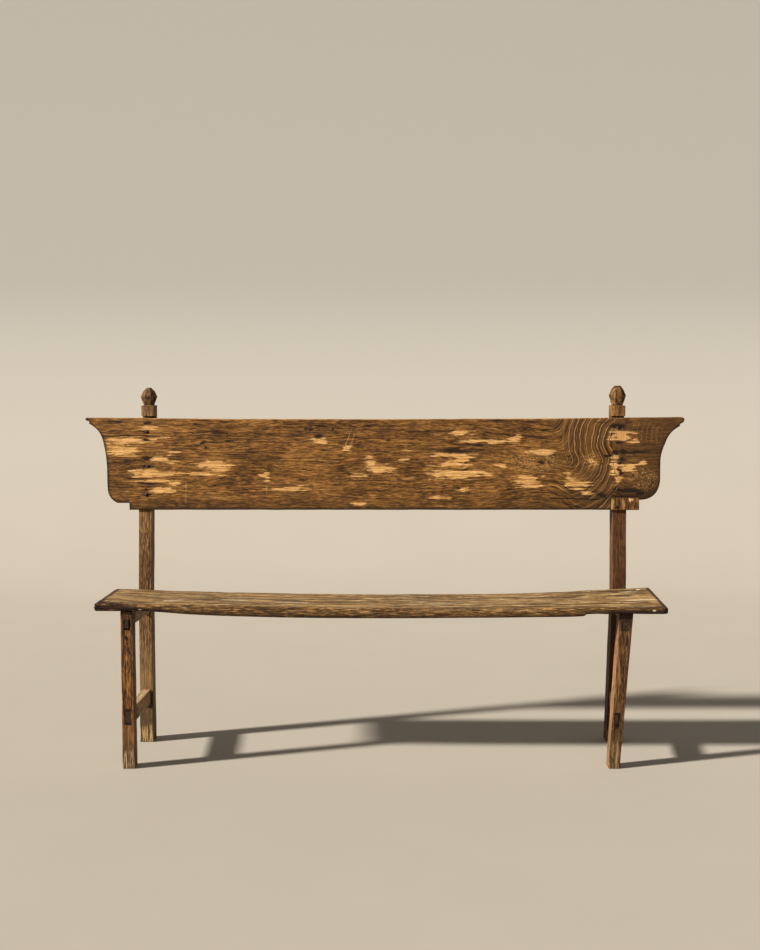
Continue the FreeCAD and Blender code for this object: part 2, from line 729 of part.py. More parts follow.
RIGHT_TOP = f"({BOARD_TOP} + board_right_rise)"
NOTCH_LEFT = f"({PATCH_LEFT} - patch_play)"
NOTCH_RIGHT = f"({PATCH_RIGHT} + patch_play)"
NOTCH_TOP = f"({PATCH_TOP} + patch_play)"
ROUND_UP = "(board_bottom_z + right_round_up)"
body = new_body("back_board")
board_sketch = outline(body, "XZ_Plane", BOARD_BACK, [
    left("left_heel_in", "board_bottom_z"),
    (NOTCH_LEFT, "board_bottom_z", None),
    (NOTCH_LEFT, NOTCH_TOP, None),
    (NOTCH_RIGHT, NOTCH_TOP, None),
    (NOTCH_RIGHT, ROUND_UP, None),
    (f"({NOTCH_RIGHT} + patch_shoulder)", ROUND_UP, ("right_ovolo_bulge", 1)),
    right("right_ovolo_in", "(board_bottom_z + right_ovolo_up)"),
    right("right_waist_in", f"({RIGHT_TOP} - right_waist_drop)", ("right_waist_bulge", -1)),
    right("right_bend_in", f"({RIGHT_TOP} - right_bend_drop)", ("right_cove_bulge", -1)),
    right("right_cove_in", f"({RIGHT_TOP} - right_cove_drop)"),
    right("right_nick_in", f"({RIGHT_TOP} - right_nick_drop)"),
    right("right_underlip_in", f"({RIGHT_TOP} - right_underlip_drop)"),
    right("0", f"({RIGHT_TOP} - right_lip_drop)"),
    right("right_lip_in", RIGHT_TOP),
    ("(board_length / 4)", f"({BOARD_TOP} - 0.75 * board_hollow + board_right_rise / 2)", None),
    ("0", f"({BOARD_TOP} - board_hollow)", None),
    ("(-board_length / 4)", f"({BOARD_TOP} - 0.75 * board_hollow)", None),
    left("left_lip_in", BOARD_TOP),
    left("0", f"({BOARD_TOP} - left_lip_drop)"),
    left("left_underlip_in", f"({BOARD_TOP} - left_underlip_drop)"),
    left("left_nick_in", f"({BOARD_TOP} - left_nick_drop)"),
    left("left_cove_in", f"({BOARD_TOP} - left_cove_drop)", ("left_cove_bulge", -1)),
    left("left_bend_in", f"({BOARD_TOP} - left_bend_drop)", ("left_waist_bulge", -1)),
    left("left_waist_in", f"({BOARD_TOP} - left_waist_drop)"),
    left("left_ovolo_in", "(board_bottom_z + left_ovolo_up)", ("left_ovolo_bulge", 1)),
    left("left_round_in", "(board_bottom_z + left_heel_up)"),
    left("left_heel_in", "(board_bottom_z + left_heel_up)"),
])
pad(body, board_sketch, "board_thickness")
keep(body, "back_board")
for group, names in BOARD_NAILS.items():
    target = PARTS["back_board_patch" if group == "patch" else "back_board"]
    for name in names:
        hole = square(*nail_spot(name), HOLE_HALF)
        loft(target, "XZ_Plane", [
            (f"({BOARD_FRONT} - 2 * patch_proud)", hole), (f"({BOARD_BACK} + patch_proud)", hole)], cut=True)

# Nails: a tapering square shank under a faceted head
for group, names in BOARD_NAILS.items():
    nails = []
    for name in names:
        x, z = nail_spot(name)
        face = f"({BOARD_FRONT} - patch_proud)" if group == "patch" else BOARD_FRONT
        body = new_body(f"{name}_body")
        loft(body, "XZ_Plane", [
            (face, square(x, z, "(shank_width / 2)")),
            (f"({BOARD_BACK} + nail_bite - 2 * nail_play)", square(x, z, "(shank_tip / 2)"))])
        loft(body, "XZ_Plane", [
            (face, octagon(x, z, "head_half", "head_half")),
            (f"({face} - head_height)", octagon(x, z, "head_crown", "head_crown"))])
        nails.append(body)
    label = "patch_nail" if group == "patch" else f"{group}_board_nails"
    if len(nails) == 1:
        keep(nails[0], label)
    else:
        compound = doc.addObject("Part::Compound", label)
        compound.Links = nails
        keep(compound, label)

for side in ("left", "right"):
    nails = []
    for place in ("front", "rear"):
        x, y, z = seat_nail(side, place)
        tip = f"({z} - seat_nail_bite + 2 * nail_play - {seat_top(side, y)} + {side}_bearing_z)"
        body = new_body(f"{side}_seat_nail_{place}")
        loft(body, "XY_Plane", [
            (tip, square(x, y, "(shank_tip / 2)")), (z, square(x, y, "(shank_width / 2)"))])
        loft(body, "XY_Plane", [
            (z, octagon(x, y, "head_half", "head_half")),
            (f"({z} + head_height)", octagon(x, y, "head_crown", "head_crown"))])
        nails.append(body)
    compound = doc.addObject("Part::Compound", f"{side}_seat_nails")
    compound.Links = nails
    keep(compound, f"{side}_seat_nails")

doc.recompute()
for item in doc.Objects:
    if "Invalid" in item.State or "Error" in item.State:
        raise RuntimeError("failed: %s %s" % (item.Name, item.State))
for label, item in PARTS.items():
    if item.Shape.isNull() or not item.Shape.isValid():
        raise RuntimeError("bad shape: " + label)

os.makedirs("parts", exist_ok=True)
for label, item in PARTS.items():
    item.Shape.exportStep("parts/%s.step" % label)
    box = item.Shape.BoundBox
    print("%-22s solids %d volume %9.0f  X %.1f..%.1f  Y %.1f..%.1f  Z %.1f..%.1f" % (
        label, len(item.Shape.Solids), item.Shape.Volume,
        box.XMin, box.XMax, box.YMin, box.YMax, box.ZMin, box.ZMax))
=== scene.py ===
import math
from dataclasses import dataclass
from functools import reduce

import bpy
import numpy as np
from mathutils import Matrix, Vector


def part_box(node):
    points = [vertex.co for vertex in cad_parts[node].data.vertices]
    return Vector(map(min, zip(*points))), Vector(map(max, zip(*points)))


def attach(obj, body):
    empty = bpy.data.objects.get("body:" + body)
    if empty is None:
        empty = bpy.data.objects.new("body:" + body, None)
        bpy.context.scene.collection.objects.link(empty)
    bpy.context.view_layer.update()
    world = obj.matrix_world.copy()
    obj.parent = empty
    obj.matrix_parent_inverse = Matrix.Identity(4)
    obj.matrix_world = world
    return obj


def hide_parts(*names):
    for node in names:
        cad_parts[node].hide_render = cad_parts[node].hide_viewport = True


# An old plank bench with a high back, dressed over its solids: every timber gets a
# worn, hewn surface of its own, and the wrought nails get faceted heads.
# Lengths in the shapes are millimetres until a mesh is made, then metres.

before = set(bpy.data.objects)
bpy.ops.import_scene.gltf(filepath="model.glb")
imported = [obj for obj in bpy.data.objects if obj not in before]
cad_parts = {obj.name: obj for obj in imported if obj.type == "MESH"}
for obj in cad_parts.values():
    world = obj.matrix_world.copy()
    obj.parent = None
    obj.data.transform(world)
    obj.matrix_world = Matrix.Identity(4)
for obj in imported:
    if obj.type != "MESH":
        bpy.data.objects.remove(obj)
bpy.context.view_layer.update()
MM = 0.001


# Noise

def lattice(cells, seed):
    """Number in 0..1 for each whole cell: its indices stirred by products and shifts."""
    i = cells.astype(np.int64)
    n = (i[..., 0] * 73856093) ^ (i[..., 1] * 19349663) ^ (i[..., 2] * 83492791) ^ (seed * 40503)
    n = (n ^ (n >> 13)) * 1274126177
    n = n ^ (n >> 16)
    return (n & 0xFFFF) / 65535.0


def drift(points, seed):
    """Smooth noise in -1..1: the numbers at a cell's eight corners, blended with eased weights."""
    base = np.floor(points)
    part = points - base
    ease = part * part * (3 - 2 * part)
    total = 0.0
    for corner in range(8):
        step = np.array([(corner >> k) & 1 for k in range(3)])
        weight = np.prod(np.where(step, ease, 1 - ease), axis=-1)
        total = total + weight * lattice(base + step, seed)
    return 2 * total - 1


def drift_line(t, seed):
    """The same noise along one number."""
    t = np.asarray(t, float)
    return drift(np.stack([t, 0 * t + 0.37, 0 * t + 0.71], axis=-1), seed)


def eased(low, high, value):
    """0 at low, 1 at high, with level ends."""
    share = np.clip((value - low) / (high - low), 0, 1)
    return share * share * (3 - 2 * share)


def fade(gap, reach):
    """1 where the gap is 0, falling evenly to 0 at the reach."""
    return np.clip(1 - gap / reach, 0, 1)


def rounding(gap, radius):
    """How far a quarter circle of that radius stands back, at a gap from the end."""
    return radius * (1 - np.sqrt(1 - fade(gap, radius) ** 2))


# Surfaces

def stations(low, high, step, *extra):
    """Evenly spaced numbers from low to high, with the extra ones sorted in."""
    even = np.linspace(low, high, int(round((high - low) / step)) + 1)
    return np.unique(np.concatenate([even, *(np.ravel(group) for group in extra)]))


def section(half_u, half_v, round_u, round_v, facet=0.0, front=None, back=None,
            sides=8, across=10, corner=5):
    """Rounded rectangles, one per station, anticlockwise from the front left corner.

    A corner runs along a quarter ellipse of radii round_u and round_v, or along its
    chord where facet is 1. front and back hold the places of the points on those
    two sides, which are evenly spaced where they aren't given.
    """
    half_u, half_v, round_u, round_v, facet = (
        np.broadcast_to(a, np.shape(half_u))[:, None] for a in (half_u, half_v, round_u, round_v, facet))
    t = np.linspace(0, 1, corner)[None, :]
    rise = (1 - facet) * np.sin(t * math.pi / 2) + facet * t
    fall = (1 - facet) * np.cos(t * math.pi / 2) + facet * (1 - t)
    flat_u, flat_v = half_u - round_u, half_v - round_v
    k_u = np.linspace(-1, 1, across + 2)[None, 1:-1]
    k_v = np.linspace(-1, 1, sides + 2)[None, 1:-1]
    front = flat_u * k_u if front is None else front
    back = -flat_u * k_u if back is None else back
    u = [front, flat_u + round_u * rise, half_u + 0 * k_v, flat_u + round_u * fall,
         back, -flat_u - round_u * rise, -half_u + 0 * k_v, -flat_u - round_u * fall]
    v = [-half_v + 0 * front, -flat_v - round_v * fall, flat_v * k_v, flat_v + round_v * rise,
         half_v + 0 * back, flat_v + round_v * fall, -flat_v * k_v, -flat_v - round_v * rise]
    return np.concatenate(u, axis=1), np.concatenate(v, axis=1)


def arris(u, v, half_u, half_v, reach=7.0):
    """1 on the corners of a section, fading to 0 at that reach from both sides' ends."""
    gap_u = half_u[:, None] - np.abs(u)
    gap_v = half_v[:, None] - np.abs(v)
    return np.clip(1 - np.maximum(gap_u, gap_v) / reach, 0, 1)


def flank(u, half_u):
    """1 on the side at the end of u, -1 on the side at its beginning, 0 between them."""
    share = u / half_u[:, None]
    return np.clip(12 * share - 11, 0, 1) - np.clip(-12 * share - 11, 0, 1)


def carved(rings, along, depth, seed, length=70.0, width=14.0):
    """Rings drawn in along their own normals by noise that is long with the grain.

    The normal is each ring's tangent turned outward in the plane across the grain. The
    noise only takes wood away, so the surface stays within the solid.
    """
    tangent = np.roll(rings, -1, axis=1) - np.roll(rings, 1, axis=1)
    axis = np.zeros(3)
    axis[along] = 1.0
    normal = np.cross(tangent, axis)
    normal /= np.maximum(np.linalg.norm(normal, axis=2, keepdims=True), 1e-6)
    scale = np.full(3, 1 / width)
    scale[along] = 1 / length
    broad = drift(rings * scale * 0.4, seed)
    fine = drift(rings * scale, seed + 1)
    ridge = drift(rings * scale * 3.0, seed + 2)
    cut = depth * (0.5 + 0.28 * broad + 0.2 * fine + 0.12 * ridge)
    return rings - normal * np.maximum(cut, 0)[..., None]


def skin(name, rings, fields=None, sharp=38):
    """Closed mesh: quads between neighbouring rings, and each end drawn in to its middle.

    fields are numbers at each ring point, kept as attributes of the same names.
    """
    shares = np.array([0.3, 0.6, 0.85])[:, None, None]
    held_rows = len(shares)
    middle_first, middle_last = rings[0].mean(axis=0), rings[-1].mean(axis=0)
    opening = middle_first + shares * (rings[0] - middle_first)
    closing = middle_last + shares[::-1] * (rings[-1] - middle_last)
    rows = np.concatenate([opening, rings, closing])
    count, size = rows.shape[:2]
    index = np.arange(count * size).reshape(count, size)
    following = np.roll(index, -1, axis=1)
    quads = np.stack([index[:-1], following[:-1], following[1:], index[1:]], axis=-1).reshape(-1, 4)
    pole = count * size
    first = np.stack([following[0], index[0], np.full(size, pole)], axis=-1)
    last = np.stack([index[-1], following[-1], np.full(size, pole + 1)], axis=-1)
    points = np.concatenate([rows.reshape(-1, 3), [middle_first, middle_last]]) * MM
    spread = {}
    for key, value in (fields or {}).items():
        whole = np.concatenate([np.repeat(value[:1], held_rows, axis=0), value,
                                np.repeat(value[-1:], held_rows, axis=0)])
        spread[key] = np.append(whole.ravel(), [value[0].mean(), value[-1].mean()])
    return surface(name, points, [quads, np.concatenate([first, last])], spread, sharp)


def surface(name, points, face_sets, fields, sharp):
    """Object from points in metres and arrays of faces, shaded smooth up to the sharp angle."""
    mesh = bpy.data.meshes.new(name)
    corners = np.concatenate([faces.ravel() for faces in face_sets])
    totals = np.concatenate([np.full(len(faces), faces.shape[1]) for faces in face_sets])
    starts = np.concatenate([[0], np.cumsum(totals)[:-1]])
    mesh.vertices.add(len(points))
    mesh.loops.add(len(corners))
    mesh.polygons.add(len(totals))
    mesh.vertices.foreach_set("co", points.ravel())
    mesh.loops.foreach_set("vertex_index", corners.astype(np.int32))
    mesh.polygons.foreach_set("loop_start", starts.astype(np.int32))
    mesh.polygons.foreach_set("loop_total", totals.astype(np.int32))
    mesh.update(calc_edges=True)
    mesh.validate()
    mesh.polygons.foreach_set("use_smooth", np.ones(len(mesh.polygons), dtype=bool))
    mesh.set_sharp_from_angle(angle=math.radians(sharp))
    for key, value in fields.items():
        mesh.attributes.new(key, "FLOAT", "POINT").data.foreach_set("value", value.astype(np.float32))
    piece = bpy.data.objects.new(name, mesh)
    bpy.context.scene.collection.objects.link(piece)
    return piece


def held(rings, node):
    """Rings kept inside the box of the solid that they stand for."""
    low, high = (np.array(corner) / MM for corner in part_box(node))
    return np.clip(rings, low, high)


def dress(piece, node, finish):
    """The piece rides with the bench, stands for its solid and takes its finish."""
    piece.data.materials.append(finish)
    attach(piece, "root")
    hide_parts(node)


# Shader kit

class Value:
    """A node's output: arithmetic on it adds Math nodes."""

    def __init__(self, kit, socket):
        self.kit = kit
        self.socket = socket

    def maths(self, operation, *inputs):
        return self.kit.make("ShaderNodeMath", {"operation": operation}, dict(enumerate(inputs)))

    def __add__(self, other):
        return self.maths("ADD", self, other)

    def __radd__(self, other):
        return self.maths("ADD", other, self)

    def __sub__(self, other):
        return self.maths("SUBTRACT", self, other)

    def __rsub__(self, other):
        return self.maths("SUBTRACT", other, self)

    def __mul__(self, other):
        return self.maths("MULTIPLY", self, other)

    def __rmul__(self, other):
        return self.maths("MULTIPLY", other, self)

    def power(self, exponent):
        return self.maths("POWER", self, exponent)

    def above(self, other):
        return self.maths("MAXIMUM", self, other)

    def size(self):
        return self.maths("ABSOLUTE", self)

    def wave(self):
        return self.maths("SINE", self)

    def ease(self, low, high, bottom=0.0, top=1.0):
        """bottom at low, top at high, level outside."""
        return self.kit.make(
            "ShaderNodeMapRange", {"interpolation_type": "SMOOTHSTEP", "clamp": True},
            {0: self, 1: low, 2: high, 3: bottom, 4: top})


class Finish:
    """A material under construction, with one method that makes any node."""

    def __init__(self, name):
        self.material = bpy.data.materials.new(name)
        self.material.use_nodes = True
        self.tree = self.material.node_tree
        self.tree.nodes.clear()
        self.shader = self.tree.nodes.new("ShaderNodeBsdfPrincipled")
        output = self.tree.nodes.new("ShaderNodeOutputMaterial")
        self.tree.links.new(self.shader.outputs[0], output.inputs[0])
        self.place = self.make("ShaderNodeTexCoord", output=3)
        self.x, self.y, self.z = (
            self.make("ShaderNodeSeparateXYZ", {}, {0: self.place}, output=axis) for axis in range(3))

    def make(self, kind, settings=None, inputs=None, output=0):
        """Node of a type, with its settings first, then the values or links of its sockets."""
        node = self.tree.nodes.new(kind)
        for key, value in (settings or {}).items():
            if key == "stops":
                ramp = node.color_ramp
                for number, (spot, colour) in enumerate(value):
                    stop = ramp.elements[number] if number < 2 else ramp.elements.new(spot)
                    stop.position, stop.color = spot, (*colour, 1.0)
            else:
                setattr(node, key, value)
        for key, value in (inputs or {}).items():
            if isinstance(value, Value):
                self.tree.links.new(value.socket, node.inputs[key])
            else:
                node.inputs[key].default_value = value
        return Value(self, node.outputs[output])

    def attribute(self, name):
        return self.make("ShaderNodeAttribute", {"attribute_name": name}, output=2)

    def spread(self, u, v, w):
        return self.make("ShaderNodeCombineXYZ", {}, {0: u, 1: v, 2: w})

    def noise(self, vector, scale=1.0, detail=3.0, rough=0.55, bend=0.0):
        return self.make("ShaderNodeTexNoise", {}, {
            "Vector": vector, "Scale": scale, "Detail": detail, "Roughness": rough, "Distortion": bend})

    def flecks(self, x, y, z, rough, detail=4.0, shift=0.0):
        """Noise with a scale of its own along each axis."""
        return self.noise(self.spread(self.x * x + shift, self.y * y, self.z * z), 1.0, detail, rough)

    def vector(self, operation, first, second, output=0):
        return self.make("ShaderNodeVectorMath", {"operation": operation}, {0: first, 1: second}, output)

    def blend(self, share, first, second):
        """Colours mixed by a share; a tuple stands for a plain colour."""
        pair = [value if isinstance(value, Value) else (*value, 1.0) for value in (first, second)]
        return self.make("ShaderNodeMix", {"data_type": "RGBA", "clamp_factor": True},
                         {0: share, 6: pair[0], 7: pair[1]}, output=2)

    def ramp(self, value, stops):
        return self.make("ShaderNodeValToRGB", {"stops": stops}, {0: value})

    def close(self, colour, rough, height, depth):
        """Wires colour and roughness to the shader, and a height, through Bump, of a depth in metres."""
        bump = self.make("ShaderNodeBump", {}, {"Strength": 1.0, "Distance": depth, "Height": height})
        links = {"Base Color": colour, "Roughness": rough, "Normal": bump}
        for key, value in links.items():
            self.tree.links.new(value.socket, self.shader.inputs[key])
        self.shader.inputs["Specular IOR Level"].default_value = 0.2
        return self.material


def tone(*display):
    """Display colour, red, green and blue from 0 to 255, as linear light."""
    return tuple(((c / 255 + 0.055) / 1.055) ** 2.4 if c > 10 else c / 255 / 12.92 for c in display)


def highest(values):
    """Highest of some values at each point."""
    return reduce(Value.above, values)


TIMBER_RELIEF = 0.0014


def timber(name, along, dark, middle, light, worn, streak=1.0, grain=None, edge_wear=0.5,
           mottle=1.0, squeeze=1.0, extra=None):
    """Old open-grained wood whose fibres run along one axis.

    Broad bands, streaks and fine fibre are noises stretched along the grain; dark pores
    and checks are the thin places of such noises; arrises and high spots are worn light,
    which on the board's top edge is also a painted highlight.
    grain bends the fibres' lines, squeeze widens them to the rear, extra adds to them all.
    """
    kit = Finish(name)
    g, p, q = {"x": (kit.x, kit.z, kit.y), "z": (kit.z, kit.x, kit.y), "y": (kit.y, kit.x, kit.z)}[along]
    wander = kit.noise(kit.spread(g * 3.0, p * 9.0, q * 9.0), 1.0, 2.0) - 0.5
    p = p + wander * 0.012
    if grain is not None:
        p = grain(kit, p)
    q = q * squeeze
    bands = kit.noise(kit.spread(g * 3.4, p * 70.0, q * 70.0), 1.0, 4.0, 0.6)
    streaks = kit.noise(kit.spread(g * 22.0, p * 310.0, q * 310.0), 1.0, 4.0, 0.7)
    fibre = kit.noise(kit.spread(g * 60.0, p * 640.0, q * 640.0), 1.0, 3.0, 0.6)
    clouds = kit.noise(kit.place, 8.0, 5.0, 0.62)
    body = (bands - 0.5) * 0.8 * mottle + (streaks - 0.5) * 2.1 * streak + (fibre - 0.5) * 2.0
    body = body + (clouds - 0.5) + 0.5
    colour = kit.ramp(body, [(0.1, dark), (0.5, middle), (0.9, light)])
    soot = tuple(0.3 * c for c in dark)
    dashes = kit.noise(kit.spread(g * 34.0, p * 330.0, q * 330.0), 1.0, 3.0, 0.6)
    pores = dashes.ease(0.58, 0.66)
    colour = kit.blend(pores * 0.7, colour, soot)
    split = (kit.noise(kit.spread(g * 2.2 + 7.0, p * 46.0, q * 46.0), 1.0, 3.0, 0.5) - 0.5).size()
    open_here = kit.noise(kit.spread(g * 3.0 + 3.0, p * 14.0, q * 14.0), 1.0, 2.0)
    checks = split.ease(0.03, 0.006) * open_here.ease(0.52, 0.64)
    colour = kit.blend(checks * 0.85, colour, soot)
    rub = kit.noise(kit.spread(g * 9.0, p * 60.0, q * 60.0), 1.0, 5.0, 0.65)
    edge = (kit.attribute("arris") + (rub - 0.5) * 1.6).ease(0.5, 1.0) * edge_wear
    rubbed = rub.ease(0.60, 0.72).above(edge)
    colour = kit.blend(rubbed * 0.75, colour, worn)
    height = streaks * 0.8 + fibre * 0.5 + bands * 0.5 - checks * 1.2 - pores * 0.5
    rough = 0.7 - rubbed * 0.1 + (fibre - 0.5) * 0.3
    if extra is not None:
        colour, rough, height = extra(kit, colour, rough, height, fibre, streaks)
    return kit.close(colour, rough, height, TIMBER_RELIEF)


def marks(kit, places, ragged):
    """Highest of some soft ellipsoids, each a middle, three radii and a strength, in millimetres."""
    def mark(middle, radii, strength):
        away = kit.vector("SUBTRACT", kit.place, tuple(c * MM for c in middle))
        away = kit.vector("DIVIDE", away, tuple(r * MM for r in radii))
        far = kit.vector("LENGTH", away, (0, 0, 0), output=1)
        return (1 - far + ragged).ease(0.0, 0.5) * strength

    return highest(mark(*place) for place in places)


# Back board

# Worn spots on the board's face: place along and up, half length, half height, strength
WORN_SPOTS = np.array([
    (-689, 925, 36, 8, 0.8), (-736, 883, 58, 10, 0.75), (-755, 855, 44, 12, 0.85),
    (-639, 893, 36, 5, 0.5), (-612, 854, 27, 3, 0.9), (-644, 833, 42, 10, 0.6), (-621, 822, 27, 6, 0.6),
    (-681, 793, 54, 11, 1), (-500, 818, 46, 10, 1), (-483, 803, 30, 8, 0.95), (-544, 790, 48, 5, 1),
    (-641, 741, 38, 9, 0.75), (-602, 760, 25, 5, 0.7), (-672, 768, 54, 4, 0.45),
    (-344, 783, 15, 27, 0.3), (-271, 746, 65, 5, 0.85), (-229, 758, 50, 4, 0.45),
    (-186, 885, 29, 8, 0.75), (-105, 864, 10, 13, 0.7), (-38, 822, 21, 13, 1), (-13, 802, 31, 12, 1),
    (52, 830, 18, 7, 0.7), (68, 854, 35, 4, 0.55), (-63, 785, 46, 11, 0.35), (-69, 702, 27, 6, 0.6),
    (224, 744, 23, 6, 0.9), (199, 789, 84, 11, 1), (191, 845, 50, 5, 0.9), (222, 833, 21, 11, 0.85),
    (187, 816, 50, 6, 0.95), (221, 906, 35, 8, 0.8), (264, 885, 38, 7, 0.85), (160, 719, 50, 7, 0.5),
    (306, 883, 42, 7, 0.9), (375, 891, 17, 12, 0.6), (445, 853, 46, 10, 0.85), (337, 814, 23, 10, 0.5),
    (418, 760, 46, 12, 0.85), (411, 779, 42, 6, 0.6), (553, 760, 42, 12, 0.9), (530, 783, 23, 12, 0.6),
    (682, 901, 29, 16, 0.95), (717, 883, 23, 7, 0.7), (662, 814, 12, 29, 0.9), (699, 806, 35, 11, 0.9),
    (741, 819, 17, 8, 0.8), (672, 771, 13, 15, 0.8), (584, 733, 19, 8, 0.55), (599, 822, 17, 11, 0.45)])

# Dark iron stains, old nail holes and knots, the same way
DARK_SPOTS = np.array([
    (-686, 936, 12, 4, 1), (-686, 910, 10, 4, 0.8), (-684, 887, 12, 4, 0.8),
    (-686, 834, 12, 4, 0.9), (-682, 810, 20, 4, 0.8),
    (-687, 760, 18, 4, 1), (-687, 743, 4, 4, 0.9), (-689, 727, 9, 4, 0.8),
    (-451, 908, 4, 4, 0.9), (-526, 877, 5, 4, 0.9), (-521, 866, 5, 4, 0.7),
    (-762, 939, 23, 4, 0.3), (-155, 918, 4, 4, 1), (-190, 898, 16, 4, 0.9),
    (-215, 916, 4, 4, 0.8), (-224, 916, 4, 4, 0.5), (206, 856, 77, 8, 0.35),
    (264, 872, 27, 5, 0.4), (-178, 926, 46, 4, 0.3), (671, 926, 25, 8, 0.8),
    (671, 881, 12, 4, 0.9), (665, 851, 8, 6, 0.95), (645, 841, 12, 4, 0.8),
    (680, 833, 6, 4, 0.95), (680, 823, 6, 4, 0.95), (677, 800, 5, 4, 0.95),
    (677, 790, 6, 4, 0.95), (671, 745, 10, 5, 0.8), (708, 741, 34, 6, 0.8), (738, 731, 11, 7, 0.9),
    (725, 851, 60, 5, 0.7), (690, 853, 14, 7, 0.9),
    (631, 727, 23, 7, 0.45), (447, 822, 17, 8, 0.45), (325, 943, 12, 4, 0.6)])

# Long cracks in the board's face: from, to, height, half width
BOARD_CRACKS = [(-822, -630, 898.5, 1.3), (-640, -572, 899.0, 0.7), (345, 388, 743.0, 1.2),
                (470, 640, 715.0, 1.1), (-60, 30, 741.5, 0.5), (590, 655, 938.0, 0.8)]

# Pale scratches on the board's face: from, to, strength
BOARD_SCRATCHES = [((-93, 928), (-117, 861), 1.0), ((-82, 922), (-100, 866), 0.7),
                   ((-574, 775), (-576, 700), 0.6), ((-342, 820), (-341, 724), 0.6),
                   ((-204, 787), (-205, 740), 0.7), ((-346, 730), (-238, 731), 0.6),
                   ((-348, 760), (-235, 762), 0.5)]


def spot_field(x, z, spots):
    """Highest of the spots' fields at each point, the points first shifted a little by drifts.

    A spot's field is highest at its middle, the more so the stronger the spot is, falls by
    1 on the way to its ellipse, and goes on falling outside.
    """
    best = np.full(x.shape, -2.0)
    here = np.stack([x / 26, z / 9, np.full(x.shape, 0.5)], axis=-1)
    finer = here * np.array([2.6, 2.2, 1.0])
    x = x + 11 * drift(here, 61) + 5 * drift(finer, 62)
    z = z + 3.2 * drift(here, 63) + 1.6 * drift(finer, 64)
    for place, height, half_long, half_high, weight in spots:
        away = np.sqrt(((x - place) / half_long) ** 2 + ((z - height) / half_high) ** 2)
        best = np.maximum(best, 0.58 + 0.6 * weight - away)
    return best


# The board's half length, the middle of its thickness, half of that and its arrises' radii
BOARD_REACH = 863
BOARD_MIDDLE = 126.0
BOARD_HALF_THICK = 12.0
BOARD_ROUND_DEEP, BOARD_ROUND_HIGH = 2.6, 3.0


def board_outline():
    """Lower outline from the left tip to the right tip, millimetres, curves as short steps.

    The scrolls follow arcs given by two ends and the arc's height over its chord.
    """
    def bow(start, stop, bulge, steps):
        """Points of an arc: the chord, plus the bulge times 1 - (2t - 1)^2 across it."""
        start, stop = np.array(start, float), np.array(stop, float)
        t = np.linspace(0, 1, steps)[:, None]
        across = np.array([start[1] - stop[1], stop[0] - start[0]])
        across = across / np.linalg.norm(across)
        return start + t * (stop - start) + across * bulge * (1 - (2 * t - 1) ** 2)

    return np.concatenate([
        [(-863, 948), (-861.5, 944.6), (-860, 943)],
        bow((-859, 942.6), (-852.2, 940.5), 0.4, 4),
        bow((-851.9, 939), (-851.7, 934), 0.2, 3),
        bow((-851.4, 933.4), (-812, 880), 8.2, 22),
        bow((-811.6, 878.6), (-802, 790), 2.6, 26)[:-1],
        bow((-801.9, 788), (-801.2, 748), -0.3, 10),
        bow((-801, 746.5), (-774, 704.9), -7.6, 20),
        bow((-772, 704.7), (-739.6, 704.7), 0, 10),
        bow((-739.2, 703.5), (-738.4, 684.2), 0, 8),
        bow((-737, 684.1), (652.0, 684.1), 0, 440),
        bow((652.3, 685.3), (652.6, 722.0), 0, 14),
        bow((653.4, 722.3), (735.9, 722.3), 0, 28),
        bow((736.6, 721.4), (737.0, 713.8), 0, 4),
        bow((739.5, 713.7), (794.6, 763), -15.2, 30),
        bow((795.4, 766), (794.9, 808), 0.2, 12),
        bow((795.2, 810), (809, 878), 4.4, 22),
        bow((809.6, 880), (849.4, 926.6), 6.2, 20),
        bow((850.0, 928), (850.8, 932.6), 0.2, 3),
        bow((851.6, 933.2), (860.6, 938.4), 0.3, 5),
        [(861.8, 941), (863, 945.5)],
    ])


def board_top(x):
    """Height of the board's top edge: slightly hollow, and a little higher at the right."""
    return np.interp(x, [-BOARD_REACH, -859, -431, 0, 431, 856, BOARD_REACH],
                     [949.5, 951.8, 948.0, 947.0, 948.8, 953.3, 949.5])


